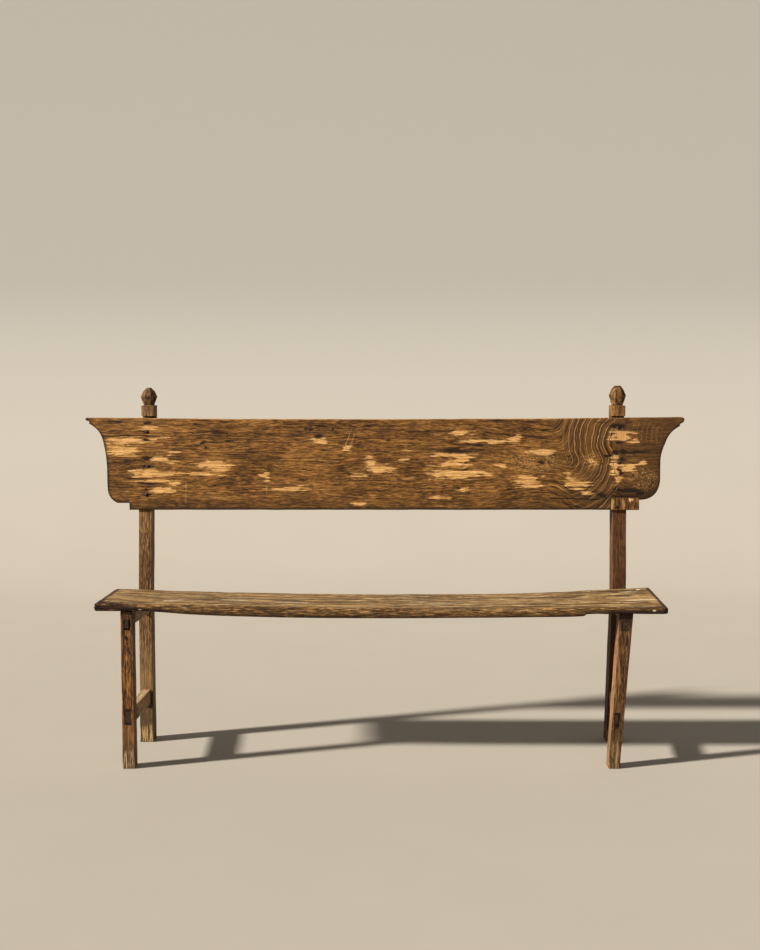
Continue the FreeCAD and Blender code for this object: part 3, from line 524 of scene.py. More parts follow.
def back_board():
    """The board as sections across its thickness, carried along its lower outline.

    Each section runs from a point of the lower outline to a point of the top edge nearly
    over it; the points on top are spread a little more evenly, so sections never meet.
    """
    lower = board_outline()
    lower[:, 0] = np.maximum.accumulate(lower[:, 0])
    reach = np.concatenate([[0], np.cumsum(np.linalg.norm(np.diff(lower, axis=0), axis=1))])
    reach /= reach[-1]
    upper_x = 0.965 * lower[:, 0] + 0.035 * BOARD_REACH * (2 * reach - 1)
    wobble = 0.5 * drift_line(upper_x / 60, 5) + 0.35 * drift_line(upper_x / 14, 6)
    upper = np.stack([upper_x, board_top(upper_x) - 0.5 + wobble * 0.9], axis=1)
    inner = (lower[:, 0] > -735) & (lower[:, 0] < 650)
    lower[:, 1] += np.where(inner, 0.7 + 0.6 * drift_line(lower[:, 0] / 45, 8), 0.0)
    middle, span = (lower + upper) / 2, upper - lower
    length = np.linalg.norm(span, axis=1)
    direction = span / length[:, None]
    curve = np.minimum(BOARD_ROUND_HIGH, length * 0.3)
    ones = np.ones(len(lower))
    depth, height = section(BOARD_HALF_THICK * ones, length / 2, BOARD_ROUND_DEEP * ones, curve,
                            sides=96, across=5, corner=5)
    points = np.stack([middle[:, :1] + height * direction[:, :1], BOARD_MIDDLE + depth,
                       middle[:, 1:] + height * direction[:, 1:]], axis=-1)
    face = depth < 0
    hollow = 0.35 * (1 + drift(points / np.array([160.0, 50.0, 38.0]), 21))
    scrape = 0.25 * (1 + drift(points / np.array([45.0, 9.0, 9.0]), 22))
    points[..., 1] += np.where(face, 1, -1) * (hollow + scrape) * (np.abs(depth) > BOARD_HALF_THICK - 1)
    points = held(points, "back_board")
    x, z = points[..., 0], points[..., 2]
    front = points[..., 1] < BOARD_MIDDLE - 6
    worn = np.where(front, spot_field(x, z, WORN_SPOTS), -2.0)
    stained = np.where(front, spot_field(x, z, DARK_SPOTS), -2.0)
    # rim is the top edge only, which the finish shows lighter: wear, and a painted highlight along the top
    # arris
    rim = np.where(height > 0, fade(length[:, None] / 2 - height, 5.0), 0.0)
    # skirt is the band along the lower edge and both ends, which the board's finish paints as shade
    left, right = lower[lower[:, 0] < -738][::-1], lower[lower[:, 0] > 738]
    from_left = x - np.interp(z, left[:, 1], left[:, 0])
    from_right = np.interp(z, right[:, 1], right[:, 0]) - x
    from_below = z - np.interp(x, lower[:, 0], lower[:, 1])
    skirt = fade(np.minimum(np.minimum(from_left, from_right), from_below), 14.0)
    return skin("back_board_skin", points, {"worn": worn, "stained": stained, "arris": rim, "skirt": skirt})


# The crooked figure at the board's right end, in metres: middles of its rings and their step
RING_HIGH = (0.700, 0.885)
RING_LOW = (0.520, 0.835)
RING_FAR = (0.842, 0.896)
RING_STEP = 0.0165
RING_FAR_STEP = 0.014
RING_SPAN = 0.194
BOARD_LEVEL = 0.67


def gap_to(kit, middle):
    across, up = kit.x - middle[0], kit.z - middle[1]
    return (across * across + up * up).power(0.5)


def board_figure(kit):
    """Field whose level lines are the crooked grain near the board's right end.

    High up it is the distance from a middle to the right; lower down it is what the
    distance from a middle to the left leaves of the span, so the lines run in an S.
    """
    join = kit.z.ease(0.81, 0.865)
    ripple = (kit.noise(kit.place, 18.0, 3.0, 0.5) - 0.5) * 0.018
    return gap_to(kit, RING_HIGH) * join + (RING_SPAN - gap_to(kit, RING_LOW)) * (1 - join) + ripple


def board_lines(kit, p):
    """Grain of the board: level, but for the figure near its right end."""
    sway = kit.noise(kit.spread(kit.x * 3.5, kit.z * 9.0, 0.0), 1.0, 3.0) - 0.5
    level = p + sway * 0.022 + kit.x.ease(0.2, 0.6) * (kit.z - 0.82) * 0.3 - BOARD_LEVEL
    near = (kit.x + sway * 0.08).ease(0.47, 0.59) * (kit.x + sway * 0.06).ease(0.70, 0.655)
    return level * (1 - near) + board_figure(kit) * near


def ridges(field, step):
    """Narrow light ridges and the dark grooves beside them, once each step of the field."""
    turn = field * (2 * math.pi / step)
    return turn.wave().ease(0.70, 0.98), (turn + 1.3).wave().ease(0.65, 1.0)


def board_surface(kit, colour, rough, height, fibre, streaks):
    """What time did to the board's face: ridged rings, curls, worn wood, stains and cracks;
    with painted shade toward its right end, along its bottom and on its lower edges, and the
    rings' ridges and grooves partly painted as lit and shaded.
    """
    fray = kit.noise(kit.spread(kit.x * 12.0, kit.z * 210.0, kit.y * 20.0), 1.0, 4.0, 0.6) - 0.5
    bits = kit.noise(kit.spread(kit.x * 36.0, kit.z * 110.0, kit.y * 20.0), 1.0, 4.0, 0.65) - 0.5

    # Painted shade: darker toward the right end and along the lower band of the face
    painted_shade = (kit.x + fray * 0.10).ease(0.44, 0.60) * 0.5 + (kit.x + bits * 0.05).ease(0.69, 0.75) * 0.2
    painted_shade = painted_shade.above((kit.z + fray * 0.03).ease(0.735, 0.700) * 0.35)
    colour = kit.blend(painted_shade, colour, tone(62, 41, 18))
    # Painted shade in the lower right corners of the face
    corner = marks(kit, [((756, 116, 742), (80, 40, 42), 1.0), ((630, 116, 722), (110, 40, 26), 0.7)], bits)
    colour = kit.blend(corner * 0.5, colour, tone(44, 28, 11))
    inside = kit.x.ease(0.49, 0.56) * kit.x.ease(0.676, 0.655) * (kit.z.ease(0.80, 0.86) * 0.5 + 0.5)
    outside = kit.x.ease(0.70, 0.725) * kit.x.ease(0.81, 0.78)
    outside = outside * kit.z.ease(0.87, 0.89) * kit.z.ease(0.944, 0.93) * 0.4
    # The rings' light ridges and dark grooves are partly the wood's own colour and partly painted highlight
    # on the raised ridges and painted shade beside them
    for field, step, mask in ((board_figure(kit), RING_STEP, inside),
                              (gap_to(kit, RING_FAR) + fray * 0.012, RING_FAR_STEP, outside)):
        ridge, groove = ridges(field, step)
        mask = mask * (bits * 2.0 + 0.75).ease(0.2, 0.9)
        colour = kit.blend(groove * mask * 0.4, colour, tone(46, 29, 12))
        colour = kit.blend(ridge * mask * 0.75, colour, tone(186, 137, 78))
        height = height + (ridge - groove) * mask * 0.5
    curl = (kit.noise(kit.place, 62.0, 2.0, 0.5, 2.6) - 0.5).size()
    curled = marks(kit, [((430, 116, 824), (105, 40, 40), 1.0), ((598, 116, 826), (38, 40, 32), 1.0),
                         ((745, 116, 775), (60, 40, 42), 0.8)], bits * 0.8)
    colour = kit.blend(curl.ease(0.10, 0.14) * curled * 0.45, colour, tone(58, 36, 16))
    colour = kit.blend(curl.ease(0.04, 0.012) * curled * 0.8, colour, tone(194, 146, 88))

    worn = kit.attribute("worn")
    broad = marks(kit, [((-735, 116, 868), (105, 40, 44), 1.0), ((-650, 116, 770), (90, 40, 50), 0.7),
                        ((-470, 116, 800), (130, 40, 40), 0.6), ((250, 116, 810), (150, 40, 60), 0.5)], bits)
    thin = (worn * 0.5 + fray * 3.4 + bits * 2.6 + broad * 0.7).ease(0.0, 0.8)
    colour = kit.blend(thin * 0.55, colour, tone(180, 126, 62))
    rubbed = (worn + fray * 3.0 + bits * 2.4 + broad * 0.28).ease(0.05, 0.5)
    bare = kit.blend(streaks.ease(0.38, 0.58), tone(190, 136, 72), tone(250, 200, 130))
    bare = kit.blend((fibre - 0.45).ease(0.0, 0.2) * 0.5, bare, tone(158, 108, 54))
    colour = kit.blend(rubbed * 0.88, colour, bare)
    height = height - rubbed * 0.35

    soot = (kit.attribute("stained") + fray * 1.2 + bits * 0.8).ease(-0.12, 0.4)
    halo = (kit.attribute("stained") + bits * 2.0).ease(-1.1, 0.2)
    colour = kit.blend(halo * 0.35, colour, tone(60, 38, 20))
    colour = kit.blend(soot * 0.92, colour, tone(28, 18, 11))
    height = height - soot * 0.8

    def crack(start, stop, level, half):
        sway = (kit.noise(kit.spread(kit.x * 9.0, level * 0.1, 0.0), 1.0, 2.0) - 0.5) * 0.012
        off = (kit.z - level * MM + sway).size()
        within = kit.x.ease(start * MM, start * MM + 0.02) * kit.x.ease(stop * MM, stop * MM - 0.03)
        return off.ease(half * 1.6 * MM, half * 0.5 * MM) * within

    gaps = highest(crack(*place) for place in BOARD_CRACKS) * kit.y.ease(0.128, 0.122)
    colour = kit.blend(gaps * 0.92, colour, tone(22, 13, 8))
    height = height - gaps * 2.0

    def scratch(start, stop, share):
        """Narrow band about the straight line from start to stop, fading out at both ends."""
        rise_x, rise_z = stop[0] - start[0], stop[1] - start[1]
        long = math.hypot(rise_x, rise_z)
        off_x, off_z = kit.x - start[0] * MM, kit.z - start[1] * MM
        along = off_x * (rise_x / long) + off_z * (rise_z / long)
        across = (off_x * (rise_z / long) - off_z * (rise_x / long) + fray * 0.004).size()
        inner = along.ease(0.0, 0.01) * along.ease(long * MM, long * MM - 0.01)
        return across.ease(0.0022, 0.0006) * inner * share

    scratches = highest(scratch(*place) for place in BOARD_SCRATCHES) * (bits * 2.0 + 0.6).ease(0.2, 0.8)
    colour = kit.blend(scratches * 0.6, colour, tone(196, 150, 92))

    # Painted shade along the lower edge and both ends of the board
    under = (kit.attribute("skirt") + bits * 0.9).ease(0.25, 0.85)
    colour = kit.blend(under * 0.8, colour, tone(42, 25, 10))
    return colour, rough - rubbed * 0.04, height


# Seat plank

SEAT_LEFT, SEAT_RIGHT = -789.8, 768.8
SEAT_FRONT, SEAT_REAR = -174.8, 119.2
SEAT_DEEP = 295

# Stations from left to right: place, underside, top at the front edge, top at the rear edge
SEAT_X, SEAT_UNDER, SEAT_FRONT_TOP, SEAT_REAR_TOP = np.array([
    (SEAT_LEFT, 434.6, 462.6, 454.8), (-745, 434.2, 459.8, 454.4), (-657.6, 434.2, 456.4, 451.4),
    (-519, 425.2, 454.5, 447.1), (-305, 418.2, 450.2, 442.4), (-54, 415.6, 445.8, 439.3),
    (185, 416.4, 444.4, 439.8), (399, 418.4, 445.0, 442.5), (537, 421.5, 445.8, 448.0),
    (600, 427.2, 446.4, 452.0), (727, 427.2, 446.7, 457.4), (SEAT_RIGHT, 427.5, 446.2, 459.4)]).T


def smooth_through(x, known_x, known):
    """Cubic run through known points, level in slope where neighbours agree (Catmull-Rom)."""
    slope = np.gradient(known, known_x)
    i = np.clip(np.searchsorted(known_x, x) - 1, 0, len(known_x) - 2)
    wide = known_x[i + 1] - known_x[i]
    t = (x - known_x[i]) / wide
    return ((2 * t ** 3 - 3 * t ** 2 + 1) * known[i] + (t ** 3 - 2 * t ** 2 + t) * wide * slope[i]
            + (-2 * t ** 3 + 3 * t ** 2) * known[i + 1] + (t ** 3 - t ** 2) * wide * slope[i + 1])


def seat_plank():
    """The plank as sections along its length: round-nosed at the front, square behind.

    The top and underside run straight from front to rear in each section; the plank sags
    between the frames, and the ends are worn round in plan and in thickness.
    """
    near_end = np.array([0.4, 1.0, 2.0, 3.5, 6.0])
    x = stations(SEAT_LEFT, SEAT_RIGHT, 4.4,
                 SEAT_LEFT + near_end, [540, 543, 546], SEAT_RIGHT - near_end[:4])
    left, right = x - SEAT_LEFT, SEAT_RIGHT - x
    under = smooth_through(x, SEAT_X, SEAT_UNDER)
    under += np.interp(x, [537, 541, 545, 575, 600], [0, 0.6, 4.6, 3.0, 0])
    front_top = smooth_through(x, SEAT_X, SEAT_FRONT_TOP)
    rear_top = smooth_through(x, SEAT_X, SEAT_REAR_TOP)
    y_front = SEAT_FRONT + 1.1 * (1 + drift_line(x / 60, 31)) + 0.7 * (1 + drift_line(x / 17, 32))
    y_front = y_front + rounding(right, 16.0) + rounding(left, 5.0)
    y_rear = SEAT_REAR - 0.8 * (1 + drift_line(x / 80, 33)) - rounding(right, 6.0) - 3 * fade(left, 3.0)
    middle, half = (y_front + y_rear) / 2, (y_rear - y_front) / 2
    worn_end = 2.4 * fade(left, 3.5) ** 2 + 4.0 * fade(right, 5.0) ** 2
    bite = 7.0 + 2.5 * drift_line(x / 40, 35)
    # Each section is drawn 20 high, then lift carries it from the underside to the top
    u, v = section(half, np.full(len(x), 10.0), bite, np.full(len(x), 7.5), across=84, sides=5, corner=9)
    share = (u + half[:, None]) / (2 * half[:, None])
    inward = share * SEAT_DEEP
    top = front_top[:, None] * (1 - share) + rear_top[:, None] * share - worn_end[:, None]
    slope = np.where(x > 600, 0.018, 0.0)[:, None]
    base = under[:, None] + slope * inward + worn_end[:, None] * 0.5
    lift = (v + 10) / 20
    z = base + (top - base) * lift
    waney = fade(inward, 26) ** 2 * (1 - lift)
    raised = np.interp(x, [-790, -700, -560, -300, 0, 400, 600, 769], [10, 7.5, 5, 4, 3.4, 3.4, 3, 3])
    z = z + waney * raised[:, None]
    sag = -1.6 * np.exp(-((share - 0.5) / 0.3) ** 2) * lift
    z = z + sag * eased(-640, -400, x)[:, None] * eased(600, 400, x)[:, None]
    reach = 13 + 5 * drift(np.stack([0 * u, u / 30, 0 * u + 0.4], axis=-1), 47)
    z = z - 6.0 * fade(left[:, None], reach) * lift
    points = np.stack([np.broadcast_to(x[:, None], u.shape), middle[:, None] + u, z], axis=-1)
    ragged = fade(left, 5)[:, None] * (1 + drift(points / np.array([9.0, 7.0, 4.0]), 41))
    cleft = np.exp(-((lift - 0.60) / 0.13) ** 2) * fade(left, 14)[:, None] * eased(0.5, 0.1, share)
    points[..., 0] += 1.6 * ragged + 4.0 * cleft
    worn_right = fade(right, 2)[:, None] * (1 + drift(points / np.array([9.0, 11.0, 6.0]), 42))
    points[..., 0] -= 0.8 * worn_right
    above = lift > 0.5
    furrow = drift(points / np.array([120.0, 7.0, 30.0]), 43)
    dips = 0.5 * (1 + drift(points / np.array([90.0, 40.0, 40.0]), 44)) + 0.5 * np.maximum(furrow, 0)
    points[..., 2] -= np.where(above, dips, 0.0)
    points = held(points, "seat_plank")
    nosed = fade(np.abs(inward - 4), 11) * np.clip(lift * 1.4, 0, 1)
    ends = np.maximum(np.clip(1.3 - left / 24, 0, 1), np.clip(1.3 - right / 15, 0, 1))[:, None] + 0 * share
    # low_front is the lower, downward-facing part of the nose, where the finish paints shade
    low_front = fade(inward, 16) * np.clip(1.15 - lift * 1.5, 0, 1)
    return skin("seat_plank_skin", points, {
        "arris": nosed, "ends": ends, "low": low_front, "above": above.astype(float)})


# Marks on the seat, each a middle, three radii and a strength: dark cracks, nail holes and knots,
# with painted shade at the lower front of the right end, then chips and pale patches
SEAT_DARK_AND_SHADE = [
    ((-474, -123, 458), (24, 6, 20), 0.9), ((-363, -105, 455), (28, 6, 20), 1.0),
    ((-498, 34, 452), (16, 8, 20), 0.6), ((-330, -112, 455), (14, 5, 20), 0.7),
    ((27, -90, 445), (18, 6, 20), 1.0), ((-60, -60, 445), (22, 5, 20), 0.5),
    ((583, -61, 447), (20, 6, 20), 0.9), ((520, 20, 447), (40, 5, 20), 0.6),
    ((655, -96, 446), (7, 6, 20), 1.0), ((686, 0, 450), (12, 8, 20), 0.8),
    # Painted shade at the lower front of the right end
    ((748, -150, 440), (20, 26, 20), 0.7), ((712, -172, 433), (44, 12, 5), 1.0),
    ((230, -118, 445), (30, 5, 20), 0.7), ((410, -100, 445), (34, 6, 20), 0.6)]
SEAT_PALE = [
    ((-597, -91, 455), (24, 8, 20), 0.9), ((-569, -74, 455), (14, 8, 20), 0.8),
    ((-538, -158, 458), (9, 6, 8), 0.9), ((731, 90, 458), (7, 6, 20), 1.0),
    ((728, -175, 439), (6, 14, 3), 1.1), ((710, -59, 450), (55, 10, 20), 0.6),
    ((700, 60, 455), (32, 10, 20), 0.5), ((-420, -40, 452), (60, 12, 20), 0.5),
    ((-250, -70, 450), (70, 10, 20), 0.5), ((-663, -175, 442), (6, 14, 3), 0.7),
    ((150, -60, 445), (70, 12, 20), 0.4), ((-90, -150, 446), (40, 6, 8), 0.4)]


def seat_surface(kit, colour, rough, height, fibre, streaks):
    """Grey-tan worn top, dark streaked front edge with painted shade on its lower part and at the right end,
    a decayed reddish wedge at the left, dark ends.
    """
    above = kit.attribute("above")
    bits = kit.flecks(40.0, 120.0, 300.0, 0.7) - 0.5
    bleach = kit.flecks(3.6, 46.0, 0.0, 0.7, 5.0)
    grey = kit.blend(bleach.ease(0.42, 0.58), tone(96, 70, 38), tone(176, 142, 94))
    colour = kit.blend(above * 0.6, colour, grey)
    pale = kit.flecks(11.0, 104.0, 80.0, 0.72, 5.0, shift=4.0)
    colour = kit.blend(pale.ease(0.56, 0.63) * above * 0.8, colour, tone(226, 198, 152))
    pits = kit.flecks(8.0, 100.0, 60.0, 0.72, 5.0, shift=9.0).ease(0.53, 0.61)
    colour = kit.blend(pits * 0.85, colour, tone(60, 41, 20))
    height = height + bleach * 0.8 - pits
    rift = (kit.flecks(4.0, 54.0, 60.0, 0.6, 3.0) - 0.5).size()
    rift = rift.ease(0.030, 0.008) * bleach.ease(0.56, 0.44)
    colour = kit.blend(rift * 0.75, colour, tone(48, 32, 16))
    height = height - rift

    nose = kit.y.ease(-0.150, -0.166)
    dashes = kit.flecks(36.0, 50.0, 330.0, 0.7, 5.0)
    colour = kit.blend(nose * 0.6, colour, tone(104, 72, 36))
    colour = kit.blend(nose * dashes.ease(0.48, 0.58) * 0.8, colour, tone(50, 33, 16))
    colour = kit.blend(nose * dashes.ease(0.45, 0.38) * 0.6, colour, tone(196, 152, 92))
    low = kit.attribute("low")
    # Painted shade on the lower, downward-facing part of the rounded front edge
    shade = (low + bits * 1.6).ease(0.3, 1.0)
    colour = kit.blend(shade * 0.6, colour, tone(50, 33, 16))
    bark = (0.467 - (kit.x + 0.784) * 0.14 - kit.z + bits * 0.02).ease(-0.001, 0.003)
    bark = bark * kit.y.ease(-0.145, -0.152) * kit.x.ease(-0.57, -0.60)
    bark_tone = kit.blend(dashes.ease(0.34, 0.44), tone(176, 124, 76), tone(46, 24, 16))
    colour = kit.blend(bark * 0.95, colour, bark_tone)
    # Painted shade along the lower part of the front edge toward the right end
    right_front_painted_shade = (kit.z - bits * 0.010).ease(0.4435, 0.4385) * kit.x.ease(0.56, 0.62)
    colour = kit.blend(right_front_painted_shade * kit.y.ease(-0.15, -0.16) * 0.85, colour, tone(46, 20, 9))
    height = height - bark * 1.2 + bits * low * 2.5
    rim = (kit.attribute("ends") + bits * 1.5).ease(0.25, 0.6)
    end_tone = kit.blend(bits.ease(-0.06, -0.14), tone(30, 19, 10), tone(140, 104, 62))
    colour = kit.blend(rim * 0.88, colour, end_tone)
    colour = kit.blend(marks(kit, SEAT_DARK_AND_SHADE, bits * 2.0) * 0.85, colour, tone(44, 31, 20))
    colour = kit.blend(marks(kit, SEAT_PALE, bits * 2.0) * 0.85, colour, tone(240, 222, 190))
    return colour, rough + above * 0.05, height


# Posts and legs

LEG_FACE, LEG_MIDDLE, LEG_BACK = -160.0, -138.0, -116.0
POST_FRONT, POST_MIDDLE, POST_BACK = 120.0, 147.5, 175.0
PLAY = 0.2


@dataclass
class Rail:
    """A rail between leg and post: its line, top and height in front and behind, and its tenon.

    The tenon, of a width and height, lies the drop below the top, with a wedge above and below.
    """

    x_ends: tuple
    top_ends: tuple
    tall_ends: tuple
    width: float
    tenon_width: float
    tenon_tall: float
    drop: float
    wedge: float = 0.0

    def along(self, y, ends):
        return ends[0] + (y - LEG_MIDDLE) * (ends[1] - ends[0]) / (POST_MIDDLE - LEG_MIDDLE)

    def x(self, y):
        return self.along(y, self.x_ends)

    def top(self, y):
        return self.along(y, self.top_ends)

    def bottom(self, y):
        return self.top(y) - np.interp(y, [LEG_BACK, POST_FRONT], self.tall_ends)

    def pocket(self, y, room=0.0):
        """Left, right, low and high side of its mortise at depth y, with room to the right and below."""
        half, top = self.tenon_width / 2 + PLAY, self.top(y) - self.drop
        return (self.x(y) - half, self.x(y) + half + room,
                top - self.tenon_tall - PLAY - self.wedge - room, top + PLAY + self.wedge)


RAILS = {
    ("left", "bearer"): Rail((-702.6, -697.9), (434.0, 434.0), (42, 50), 28, 12, 24, 22),
    ("right", "bearer"): Rail((655.4, 681.8), (427.4, 432.5), (34, 42), 26, 20, 25, 21),
    ("left", "stretcher"): Rail((-701.8, -697.5), (165.5, 156.5), (45, 45), 26, 19, 34, 5.5, 5.2),
    ("right", "stretcher"): Rail((635.6, 673.2), (155.5, 153.5), (45, 45), 26, 15, 34, 5.5, 5.2),
}


def pocket_columns(x, half, curve, left, right, count):
    """Places of the points across a face, so that columns fall on a pocket's two sides.

    Thirds of the points lie left of the pocket, in it and right of it, with a close pair
    of points at each side.
    """
    flat, a, b = (half - curve)[:, None], (left - x)[:, None], (right - x)[:, None]
    t = np.linspace(0, 1, count + 2)[None, 1:-1]
    nudge = np.array([[-0.06, 0.06]])
    return np.concatenate([
        -flat + (a + flat) * t, a + nudge, a + (b - a) * t, b + nudge, b + (flat - b) * t], axis=1)


def press_pockets(points, z, pockets, count, depth, offset=0):
    """Pushes the face's points inside each pocket back by the depth; its first point has number offset."""
    number = np.arange(points.shape[1])
    chosen = (number > offset + count) & (number <= offset + 2 * count + 2)
    for _, _, low, high in pockets:
        rows = (z > low) & (z < high)
        points[np.ix_(rows, chosen)] += np.array([0, depth, 0])
    return points


def pocket_sides(z, upper, lower):
    """Left and right side of the pockets' column at each height, straight from one to the other."""
    heights = [(lower[2] + lower[3]) / 2, (upper[2] + upper[3]) / 2]
    return np.interp(z, heights, [lower[0], upper[0]]), np.interp(z, heights, [lower[1], upper[1]])


def pocket_rows(*pockets):
    return [edge + nudge for pocket in pockets for edge in pocket[2:] for nudge in (-0.06, 0.06)]


def upright_rings(x, z, y_mid, u, v):
    return np.stack([x[:, None] + u, y_mid[:, None] + v, np.broadcast_to(z[:, None], u.shape)], axis=-1)


FOOT_ROWS = [0.5, 1.2, 2.4, 4.0]
POCKET_DEEP = 14.0


def foot_wear(z):
    """How far the last millimetres above the floor are worn in."""
    return 1.2 * fade(z, 2.5) ** 2


def front_leg(side):
    """Short leg from foot to seat: rounded square section, with the two tenon pockets in front."""
    top, foot_x, top_x, foot_half, top_half, room = {
        "left": (434.0, -701.4, -702.6, 17.0, 17.0, 4.5),
        "right": (427.0, 626.6, 655.4, 15.6, 19.0, 0.0)}[side]
    upper, lower = RAILS[side, "bearer"].pocket(LEG_FACE, room), RAILS[side, "stretcher"].pocket(LEG_FACE)
    z = stations(0, top, 4.5, FOOT_ROWS, pocket_rows(upper, lower), [top - 0.5, top - 1.5])
    seed = 50 + len(side)
    share = z / top
    x = foot_x + (top_x - foot_x) * share
    wear = foot_wear(z)
    half = foot_half + (top_half - foot_half) * share + 0.3 + 0.5 * drift_line(z / 38, seed) - wear
    half_y = 22.0 + 0.2 * drift_line(z / 50, seed + 1) - wear
    curve = 2.1 + 1.2 * drift_line(z / 30, seed + 2)
    count = 4
    columns = pocket_columns(x, half, curve, *pocket_sides(z, upper, lower), count)
    u, v = section(half, half_y, curve, curve, front=columns, sides=9, across=8)
    points = upright_rings(x, z, LEG_MIDDLE + 0 * z, u, v)
    points = carved(points, 2, 0.9, seed + 3, 60.0, 9.0)
    points = press_pockets(points, z, [upper, lower], count, POCKET_DEEP)
    points = held(points, f"{side}_front_leg")
    fields = {"arris": arris(u, v, half, half_y), "flank": flank(u, half)}
    return skin(f"{side}_front_leg_skin", points, fields, 50)


def rear_post(side):
    """Tall post: notched behind the board, with a shoulder block and a faceted bud on top."""
    # Heights, the post's line and its half width there; the bud's heights and its half width there
    level, line, widths, rises, buds = {
        "left": ([0, 434, 684, 952, 987], [-697.3, -697.9, -693.9, -683.5, -683.5], [20, 19, 19, 19, 19],
                 [0, 11, 24, 40, 50], [14.3, 18.2, 22.4, 15.5, 6.4]),
        "right": ([0, 427, 684, 952, 987], [669.4, 681.8, 680.0, 673.7, 673.7], [20, 20, 20, 20, 20],
                  [0, 13, 28, 45, 56], [15.2, 19.5, 23.0, 16.5, 8.3])}[side]
    notch_low, notch_high, notch_deep, shoulder = 683.8, 956.0, 18.0, 987.0
    edges = np.array([notch_low, notch_high])
    upper = RAILS[side, "bearer"].pocket(POST_BACK)
    lower = RAILS[side, "stretcher"].pocket(POST_BACK)
    z = stations(0, shoulder - 1.4, 5.2, FOOT_ROWS, pocket_rows(upper, lower),
                 edges - 0.1, edges + 0.1, [shoulder - 2.4])
    seed = 70 + len(side)
    wear = foot_wear(z)
    half = np.interp(z, level, widths) + 0.3 + 0.4 * drift_line(z / 55, seed) - wear
    notch = np.where((z > notch_low) & (z < notch_high), notch_deep, 0.0)
    y_front = POST_FRONT + notch + 0.2 * drift_line(z / 60, seed + 1) + wear
    y_back = POST_BACK - 0.2 * drift_line(z / 60, seed + 2) - wear
    x = np.interp(z, level, line)
    curve = 1.9 + 0.9 * drift_line(z / 26, seed + 3)
    count = 3
    back = pocket_columns(x, half, curve, *pocket_sides(z, upper, lower), count)[:, ::-1]
    across = back.shape[1]
    # The bud: rings straight from one named height to the next, then a small flat tip
    known = np.arange(len(rises))
    fine = np.linspace(0, known[-1], 25)
    rise = np.concatenate([[-0.6], np.interp(fine, known, rises) + 0.2, [rises[-1] + 0.3]])
    bud = np.concatenate([[buds[0] + 1.2], np.interp(fine, known, buds), [buds[-1] * 0.55]])
    bud_deep, bud_round = 1.12, 0.58
    ones = np.ones(len(rise))
    x, z = np.append(x, line[-1] * ones), np.append(z, shoulder + rise)
    middle = np.append((y_front + y_back) / 2, POST_MIDDLE * ones)
    half_x, half_y = np.append(half, bud), np.append((y_back - y_front) / 2, bud * bud_deep)
    round_x, round_y = np.append(curve, bud * bud_round), np.append(curve, bud * bud_deep * bud_round)
    faceted = (z > shoulder - 1.0).astype(float)
    k = np.linspace(-1, 1, across + 2)[None, 1:-1]
    flat = (half_x - round_x)[:, None]
    u, v = section(half_x, half_y, round_x, round_y, faceted, front=flat * k,
                   back=np.concatenate([back, -flat[len(back):] * k]), sides=9, across=across)
    points = upright_rings(x, z, middle, u, v)
    points = carved(points, 2, 0.8, seed + 5, 70.0, 10.0)
    knife = 0.8 * drift(points / np.array([8.0, 8.0, 13.0]), seed + 7) * faceted[:, None]
    centre = np.stack([x, middle, z], axis=-1)[:, None, :]
    outward = (points - centre) / np.maximum(np.linalg.norm(points - centre, axis=2, keepdims=True), 1e-6)
    points = points + outward * knife[..., None]
    # The back face's first point comes after the front face, a corner of 5, a side of 9 and a corner
    points = press_pockets(points, z, [upper, lower], count, -POCKET_DEEP, offset=across + 5 + 9 + 5)
    points = held(points, f"{side}_rear_post")
    return skin(f"{side}_rear_post_skin", points,
                {"arris": arris(u, v, half_x, half_y, 6.0), "flank": flank(u, half_x)}, 30)


# Side rails

RAIL_NODES = {"bearer": "{}_seat_bearer", "stretcher": "{}_side_stretcher"}


def side_rail(side, kind):
    """Rail from front to back: full between leg and post, narrower at its two tenons."""
    rail = RAILS[side, kind]
    front, back = LEG_FACE + 1.2, POST_BACK - 1.2
    y = stations(front, back, 5.0, [LEG_BACK - 0.1, LEG_BACK + 0.1, POST_FRONT - 0.1, POST_FRONT + 0.1,
                                    front + 0.8, front + 2.3, back - 0.8, back - 2.3])
    within = (y > LEG_BACK) & (y < POST_FRONT)
    end = np.maximum(fade(y - front, 2.0), fade(back - y, 2.0))
    seed = 90 + len(side) * 2 + len(kind)
    hewn = 0.8 if kind == "stretcher" else 0.2
    tenon_top = rail.top(y) - rail.drop
    z_top = np.where(within, rail.top(y) - hewn * (1 + drift_line(y / 40, seed)), tenon_top)
    z_low = np.where(within, rail.bottom(y) + 0.4 * (1 + drift_line(y / 40, seed + 1)),
                     tenon_top - rail.tenon_tall)
    half = np.where(within, rail.width / 2 - 0.4 * (1 + drift_line(y / 45, seed + 2)),
                    rail.tenon_width / 2) - end
    curve = np.where(within, 2.4 + 0.9 * drift_line(y / 25, seed + 3), 0.8)
    middle, half_z = (z_top + z_low) / 2, (z_top - z_low) / 2 - end
    u, v = section(half_z, half, curve, curve, sides=7, across=11)
    points = np.stack([rail.x(y)[:, None] + v, np.broadcast_to(y[:, None], u.shape),
                       middle[:, None] + u], axis=-1)
    points = np.where(within[:, None, None], carved(points, 1, 0.7, seed + 5, 60.0, 10.0), points)
    points = held(points, RAIL_NODES[kind].format(side))
    fields = {"arris": arris(u, v, half_z, half), "flank": flank(u, half_z)}
    return skin(f"{side}_{kind}_skin", points, fields, 50)


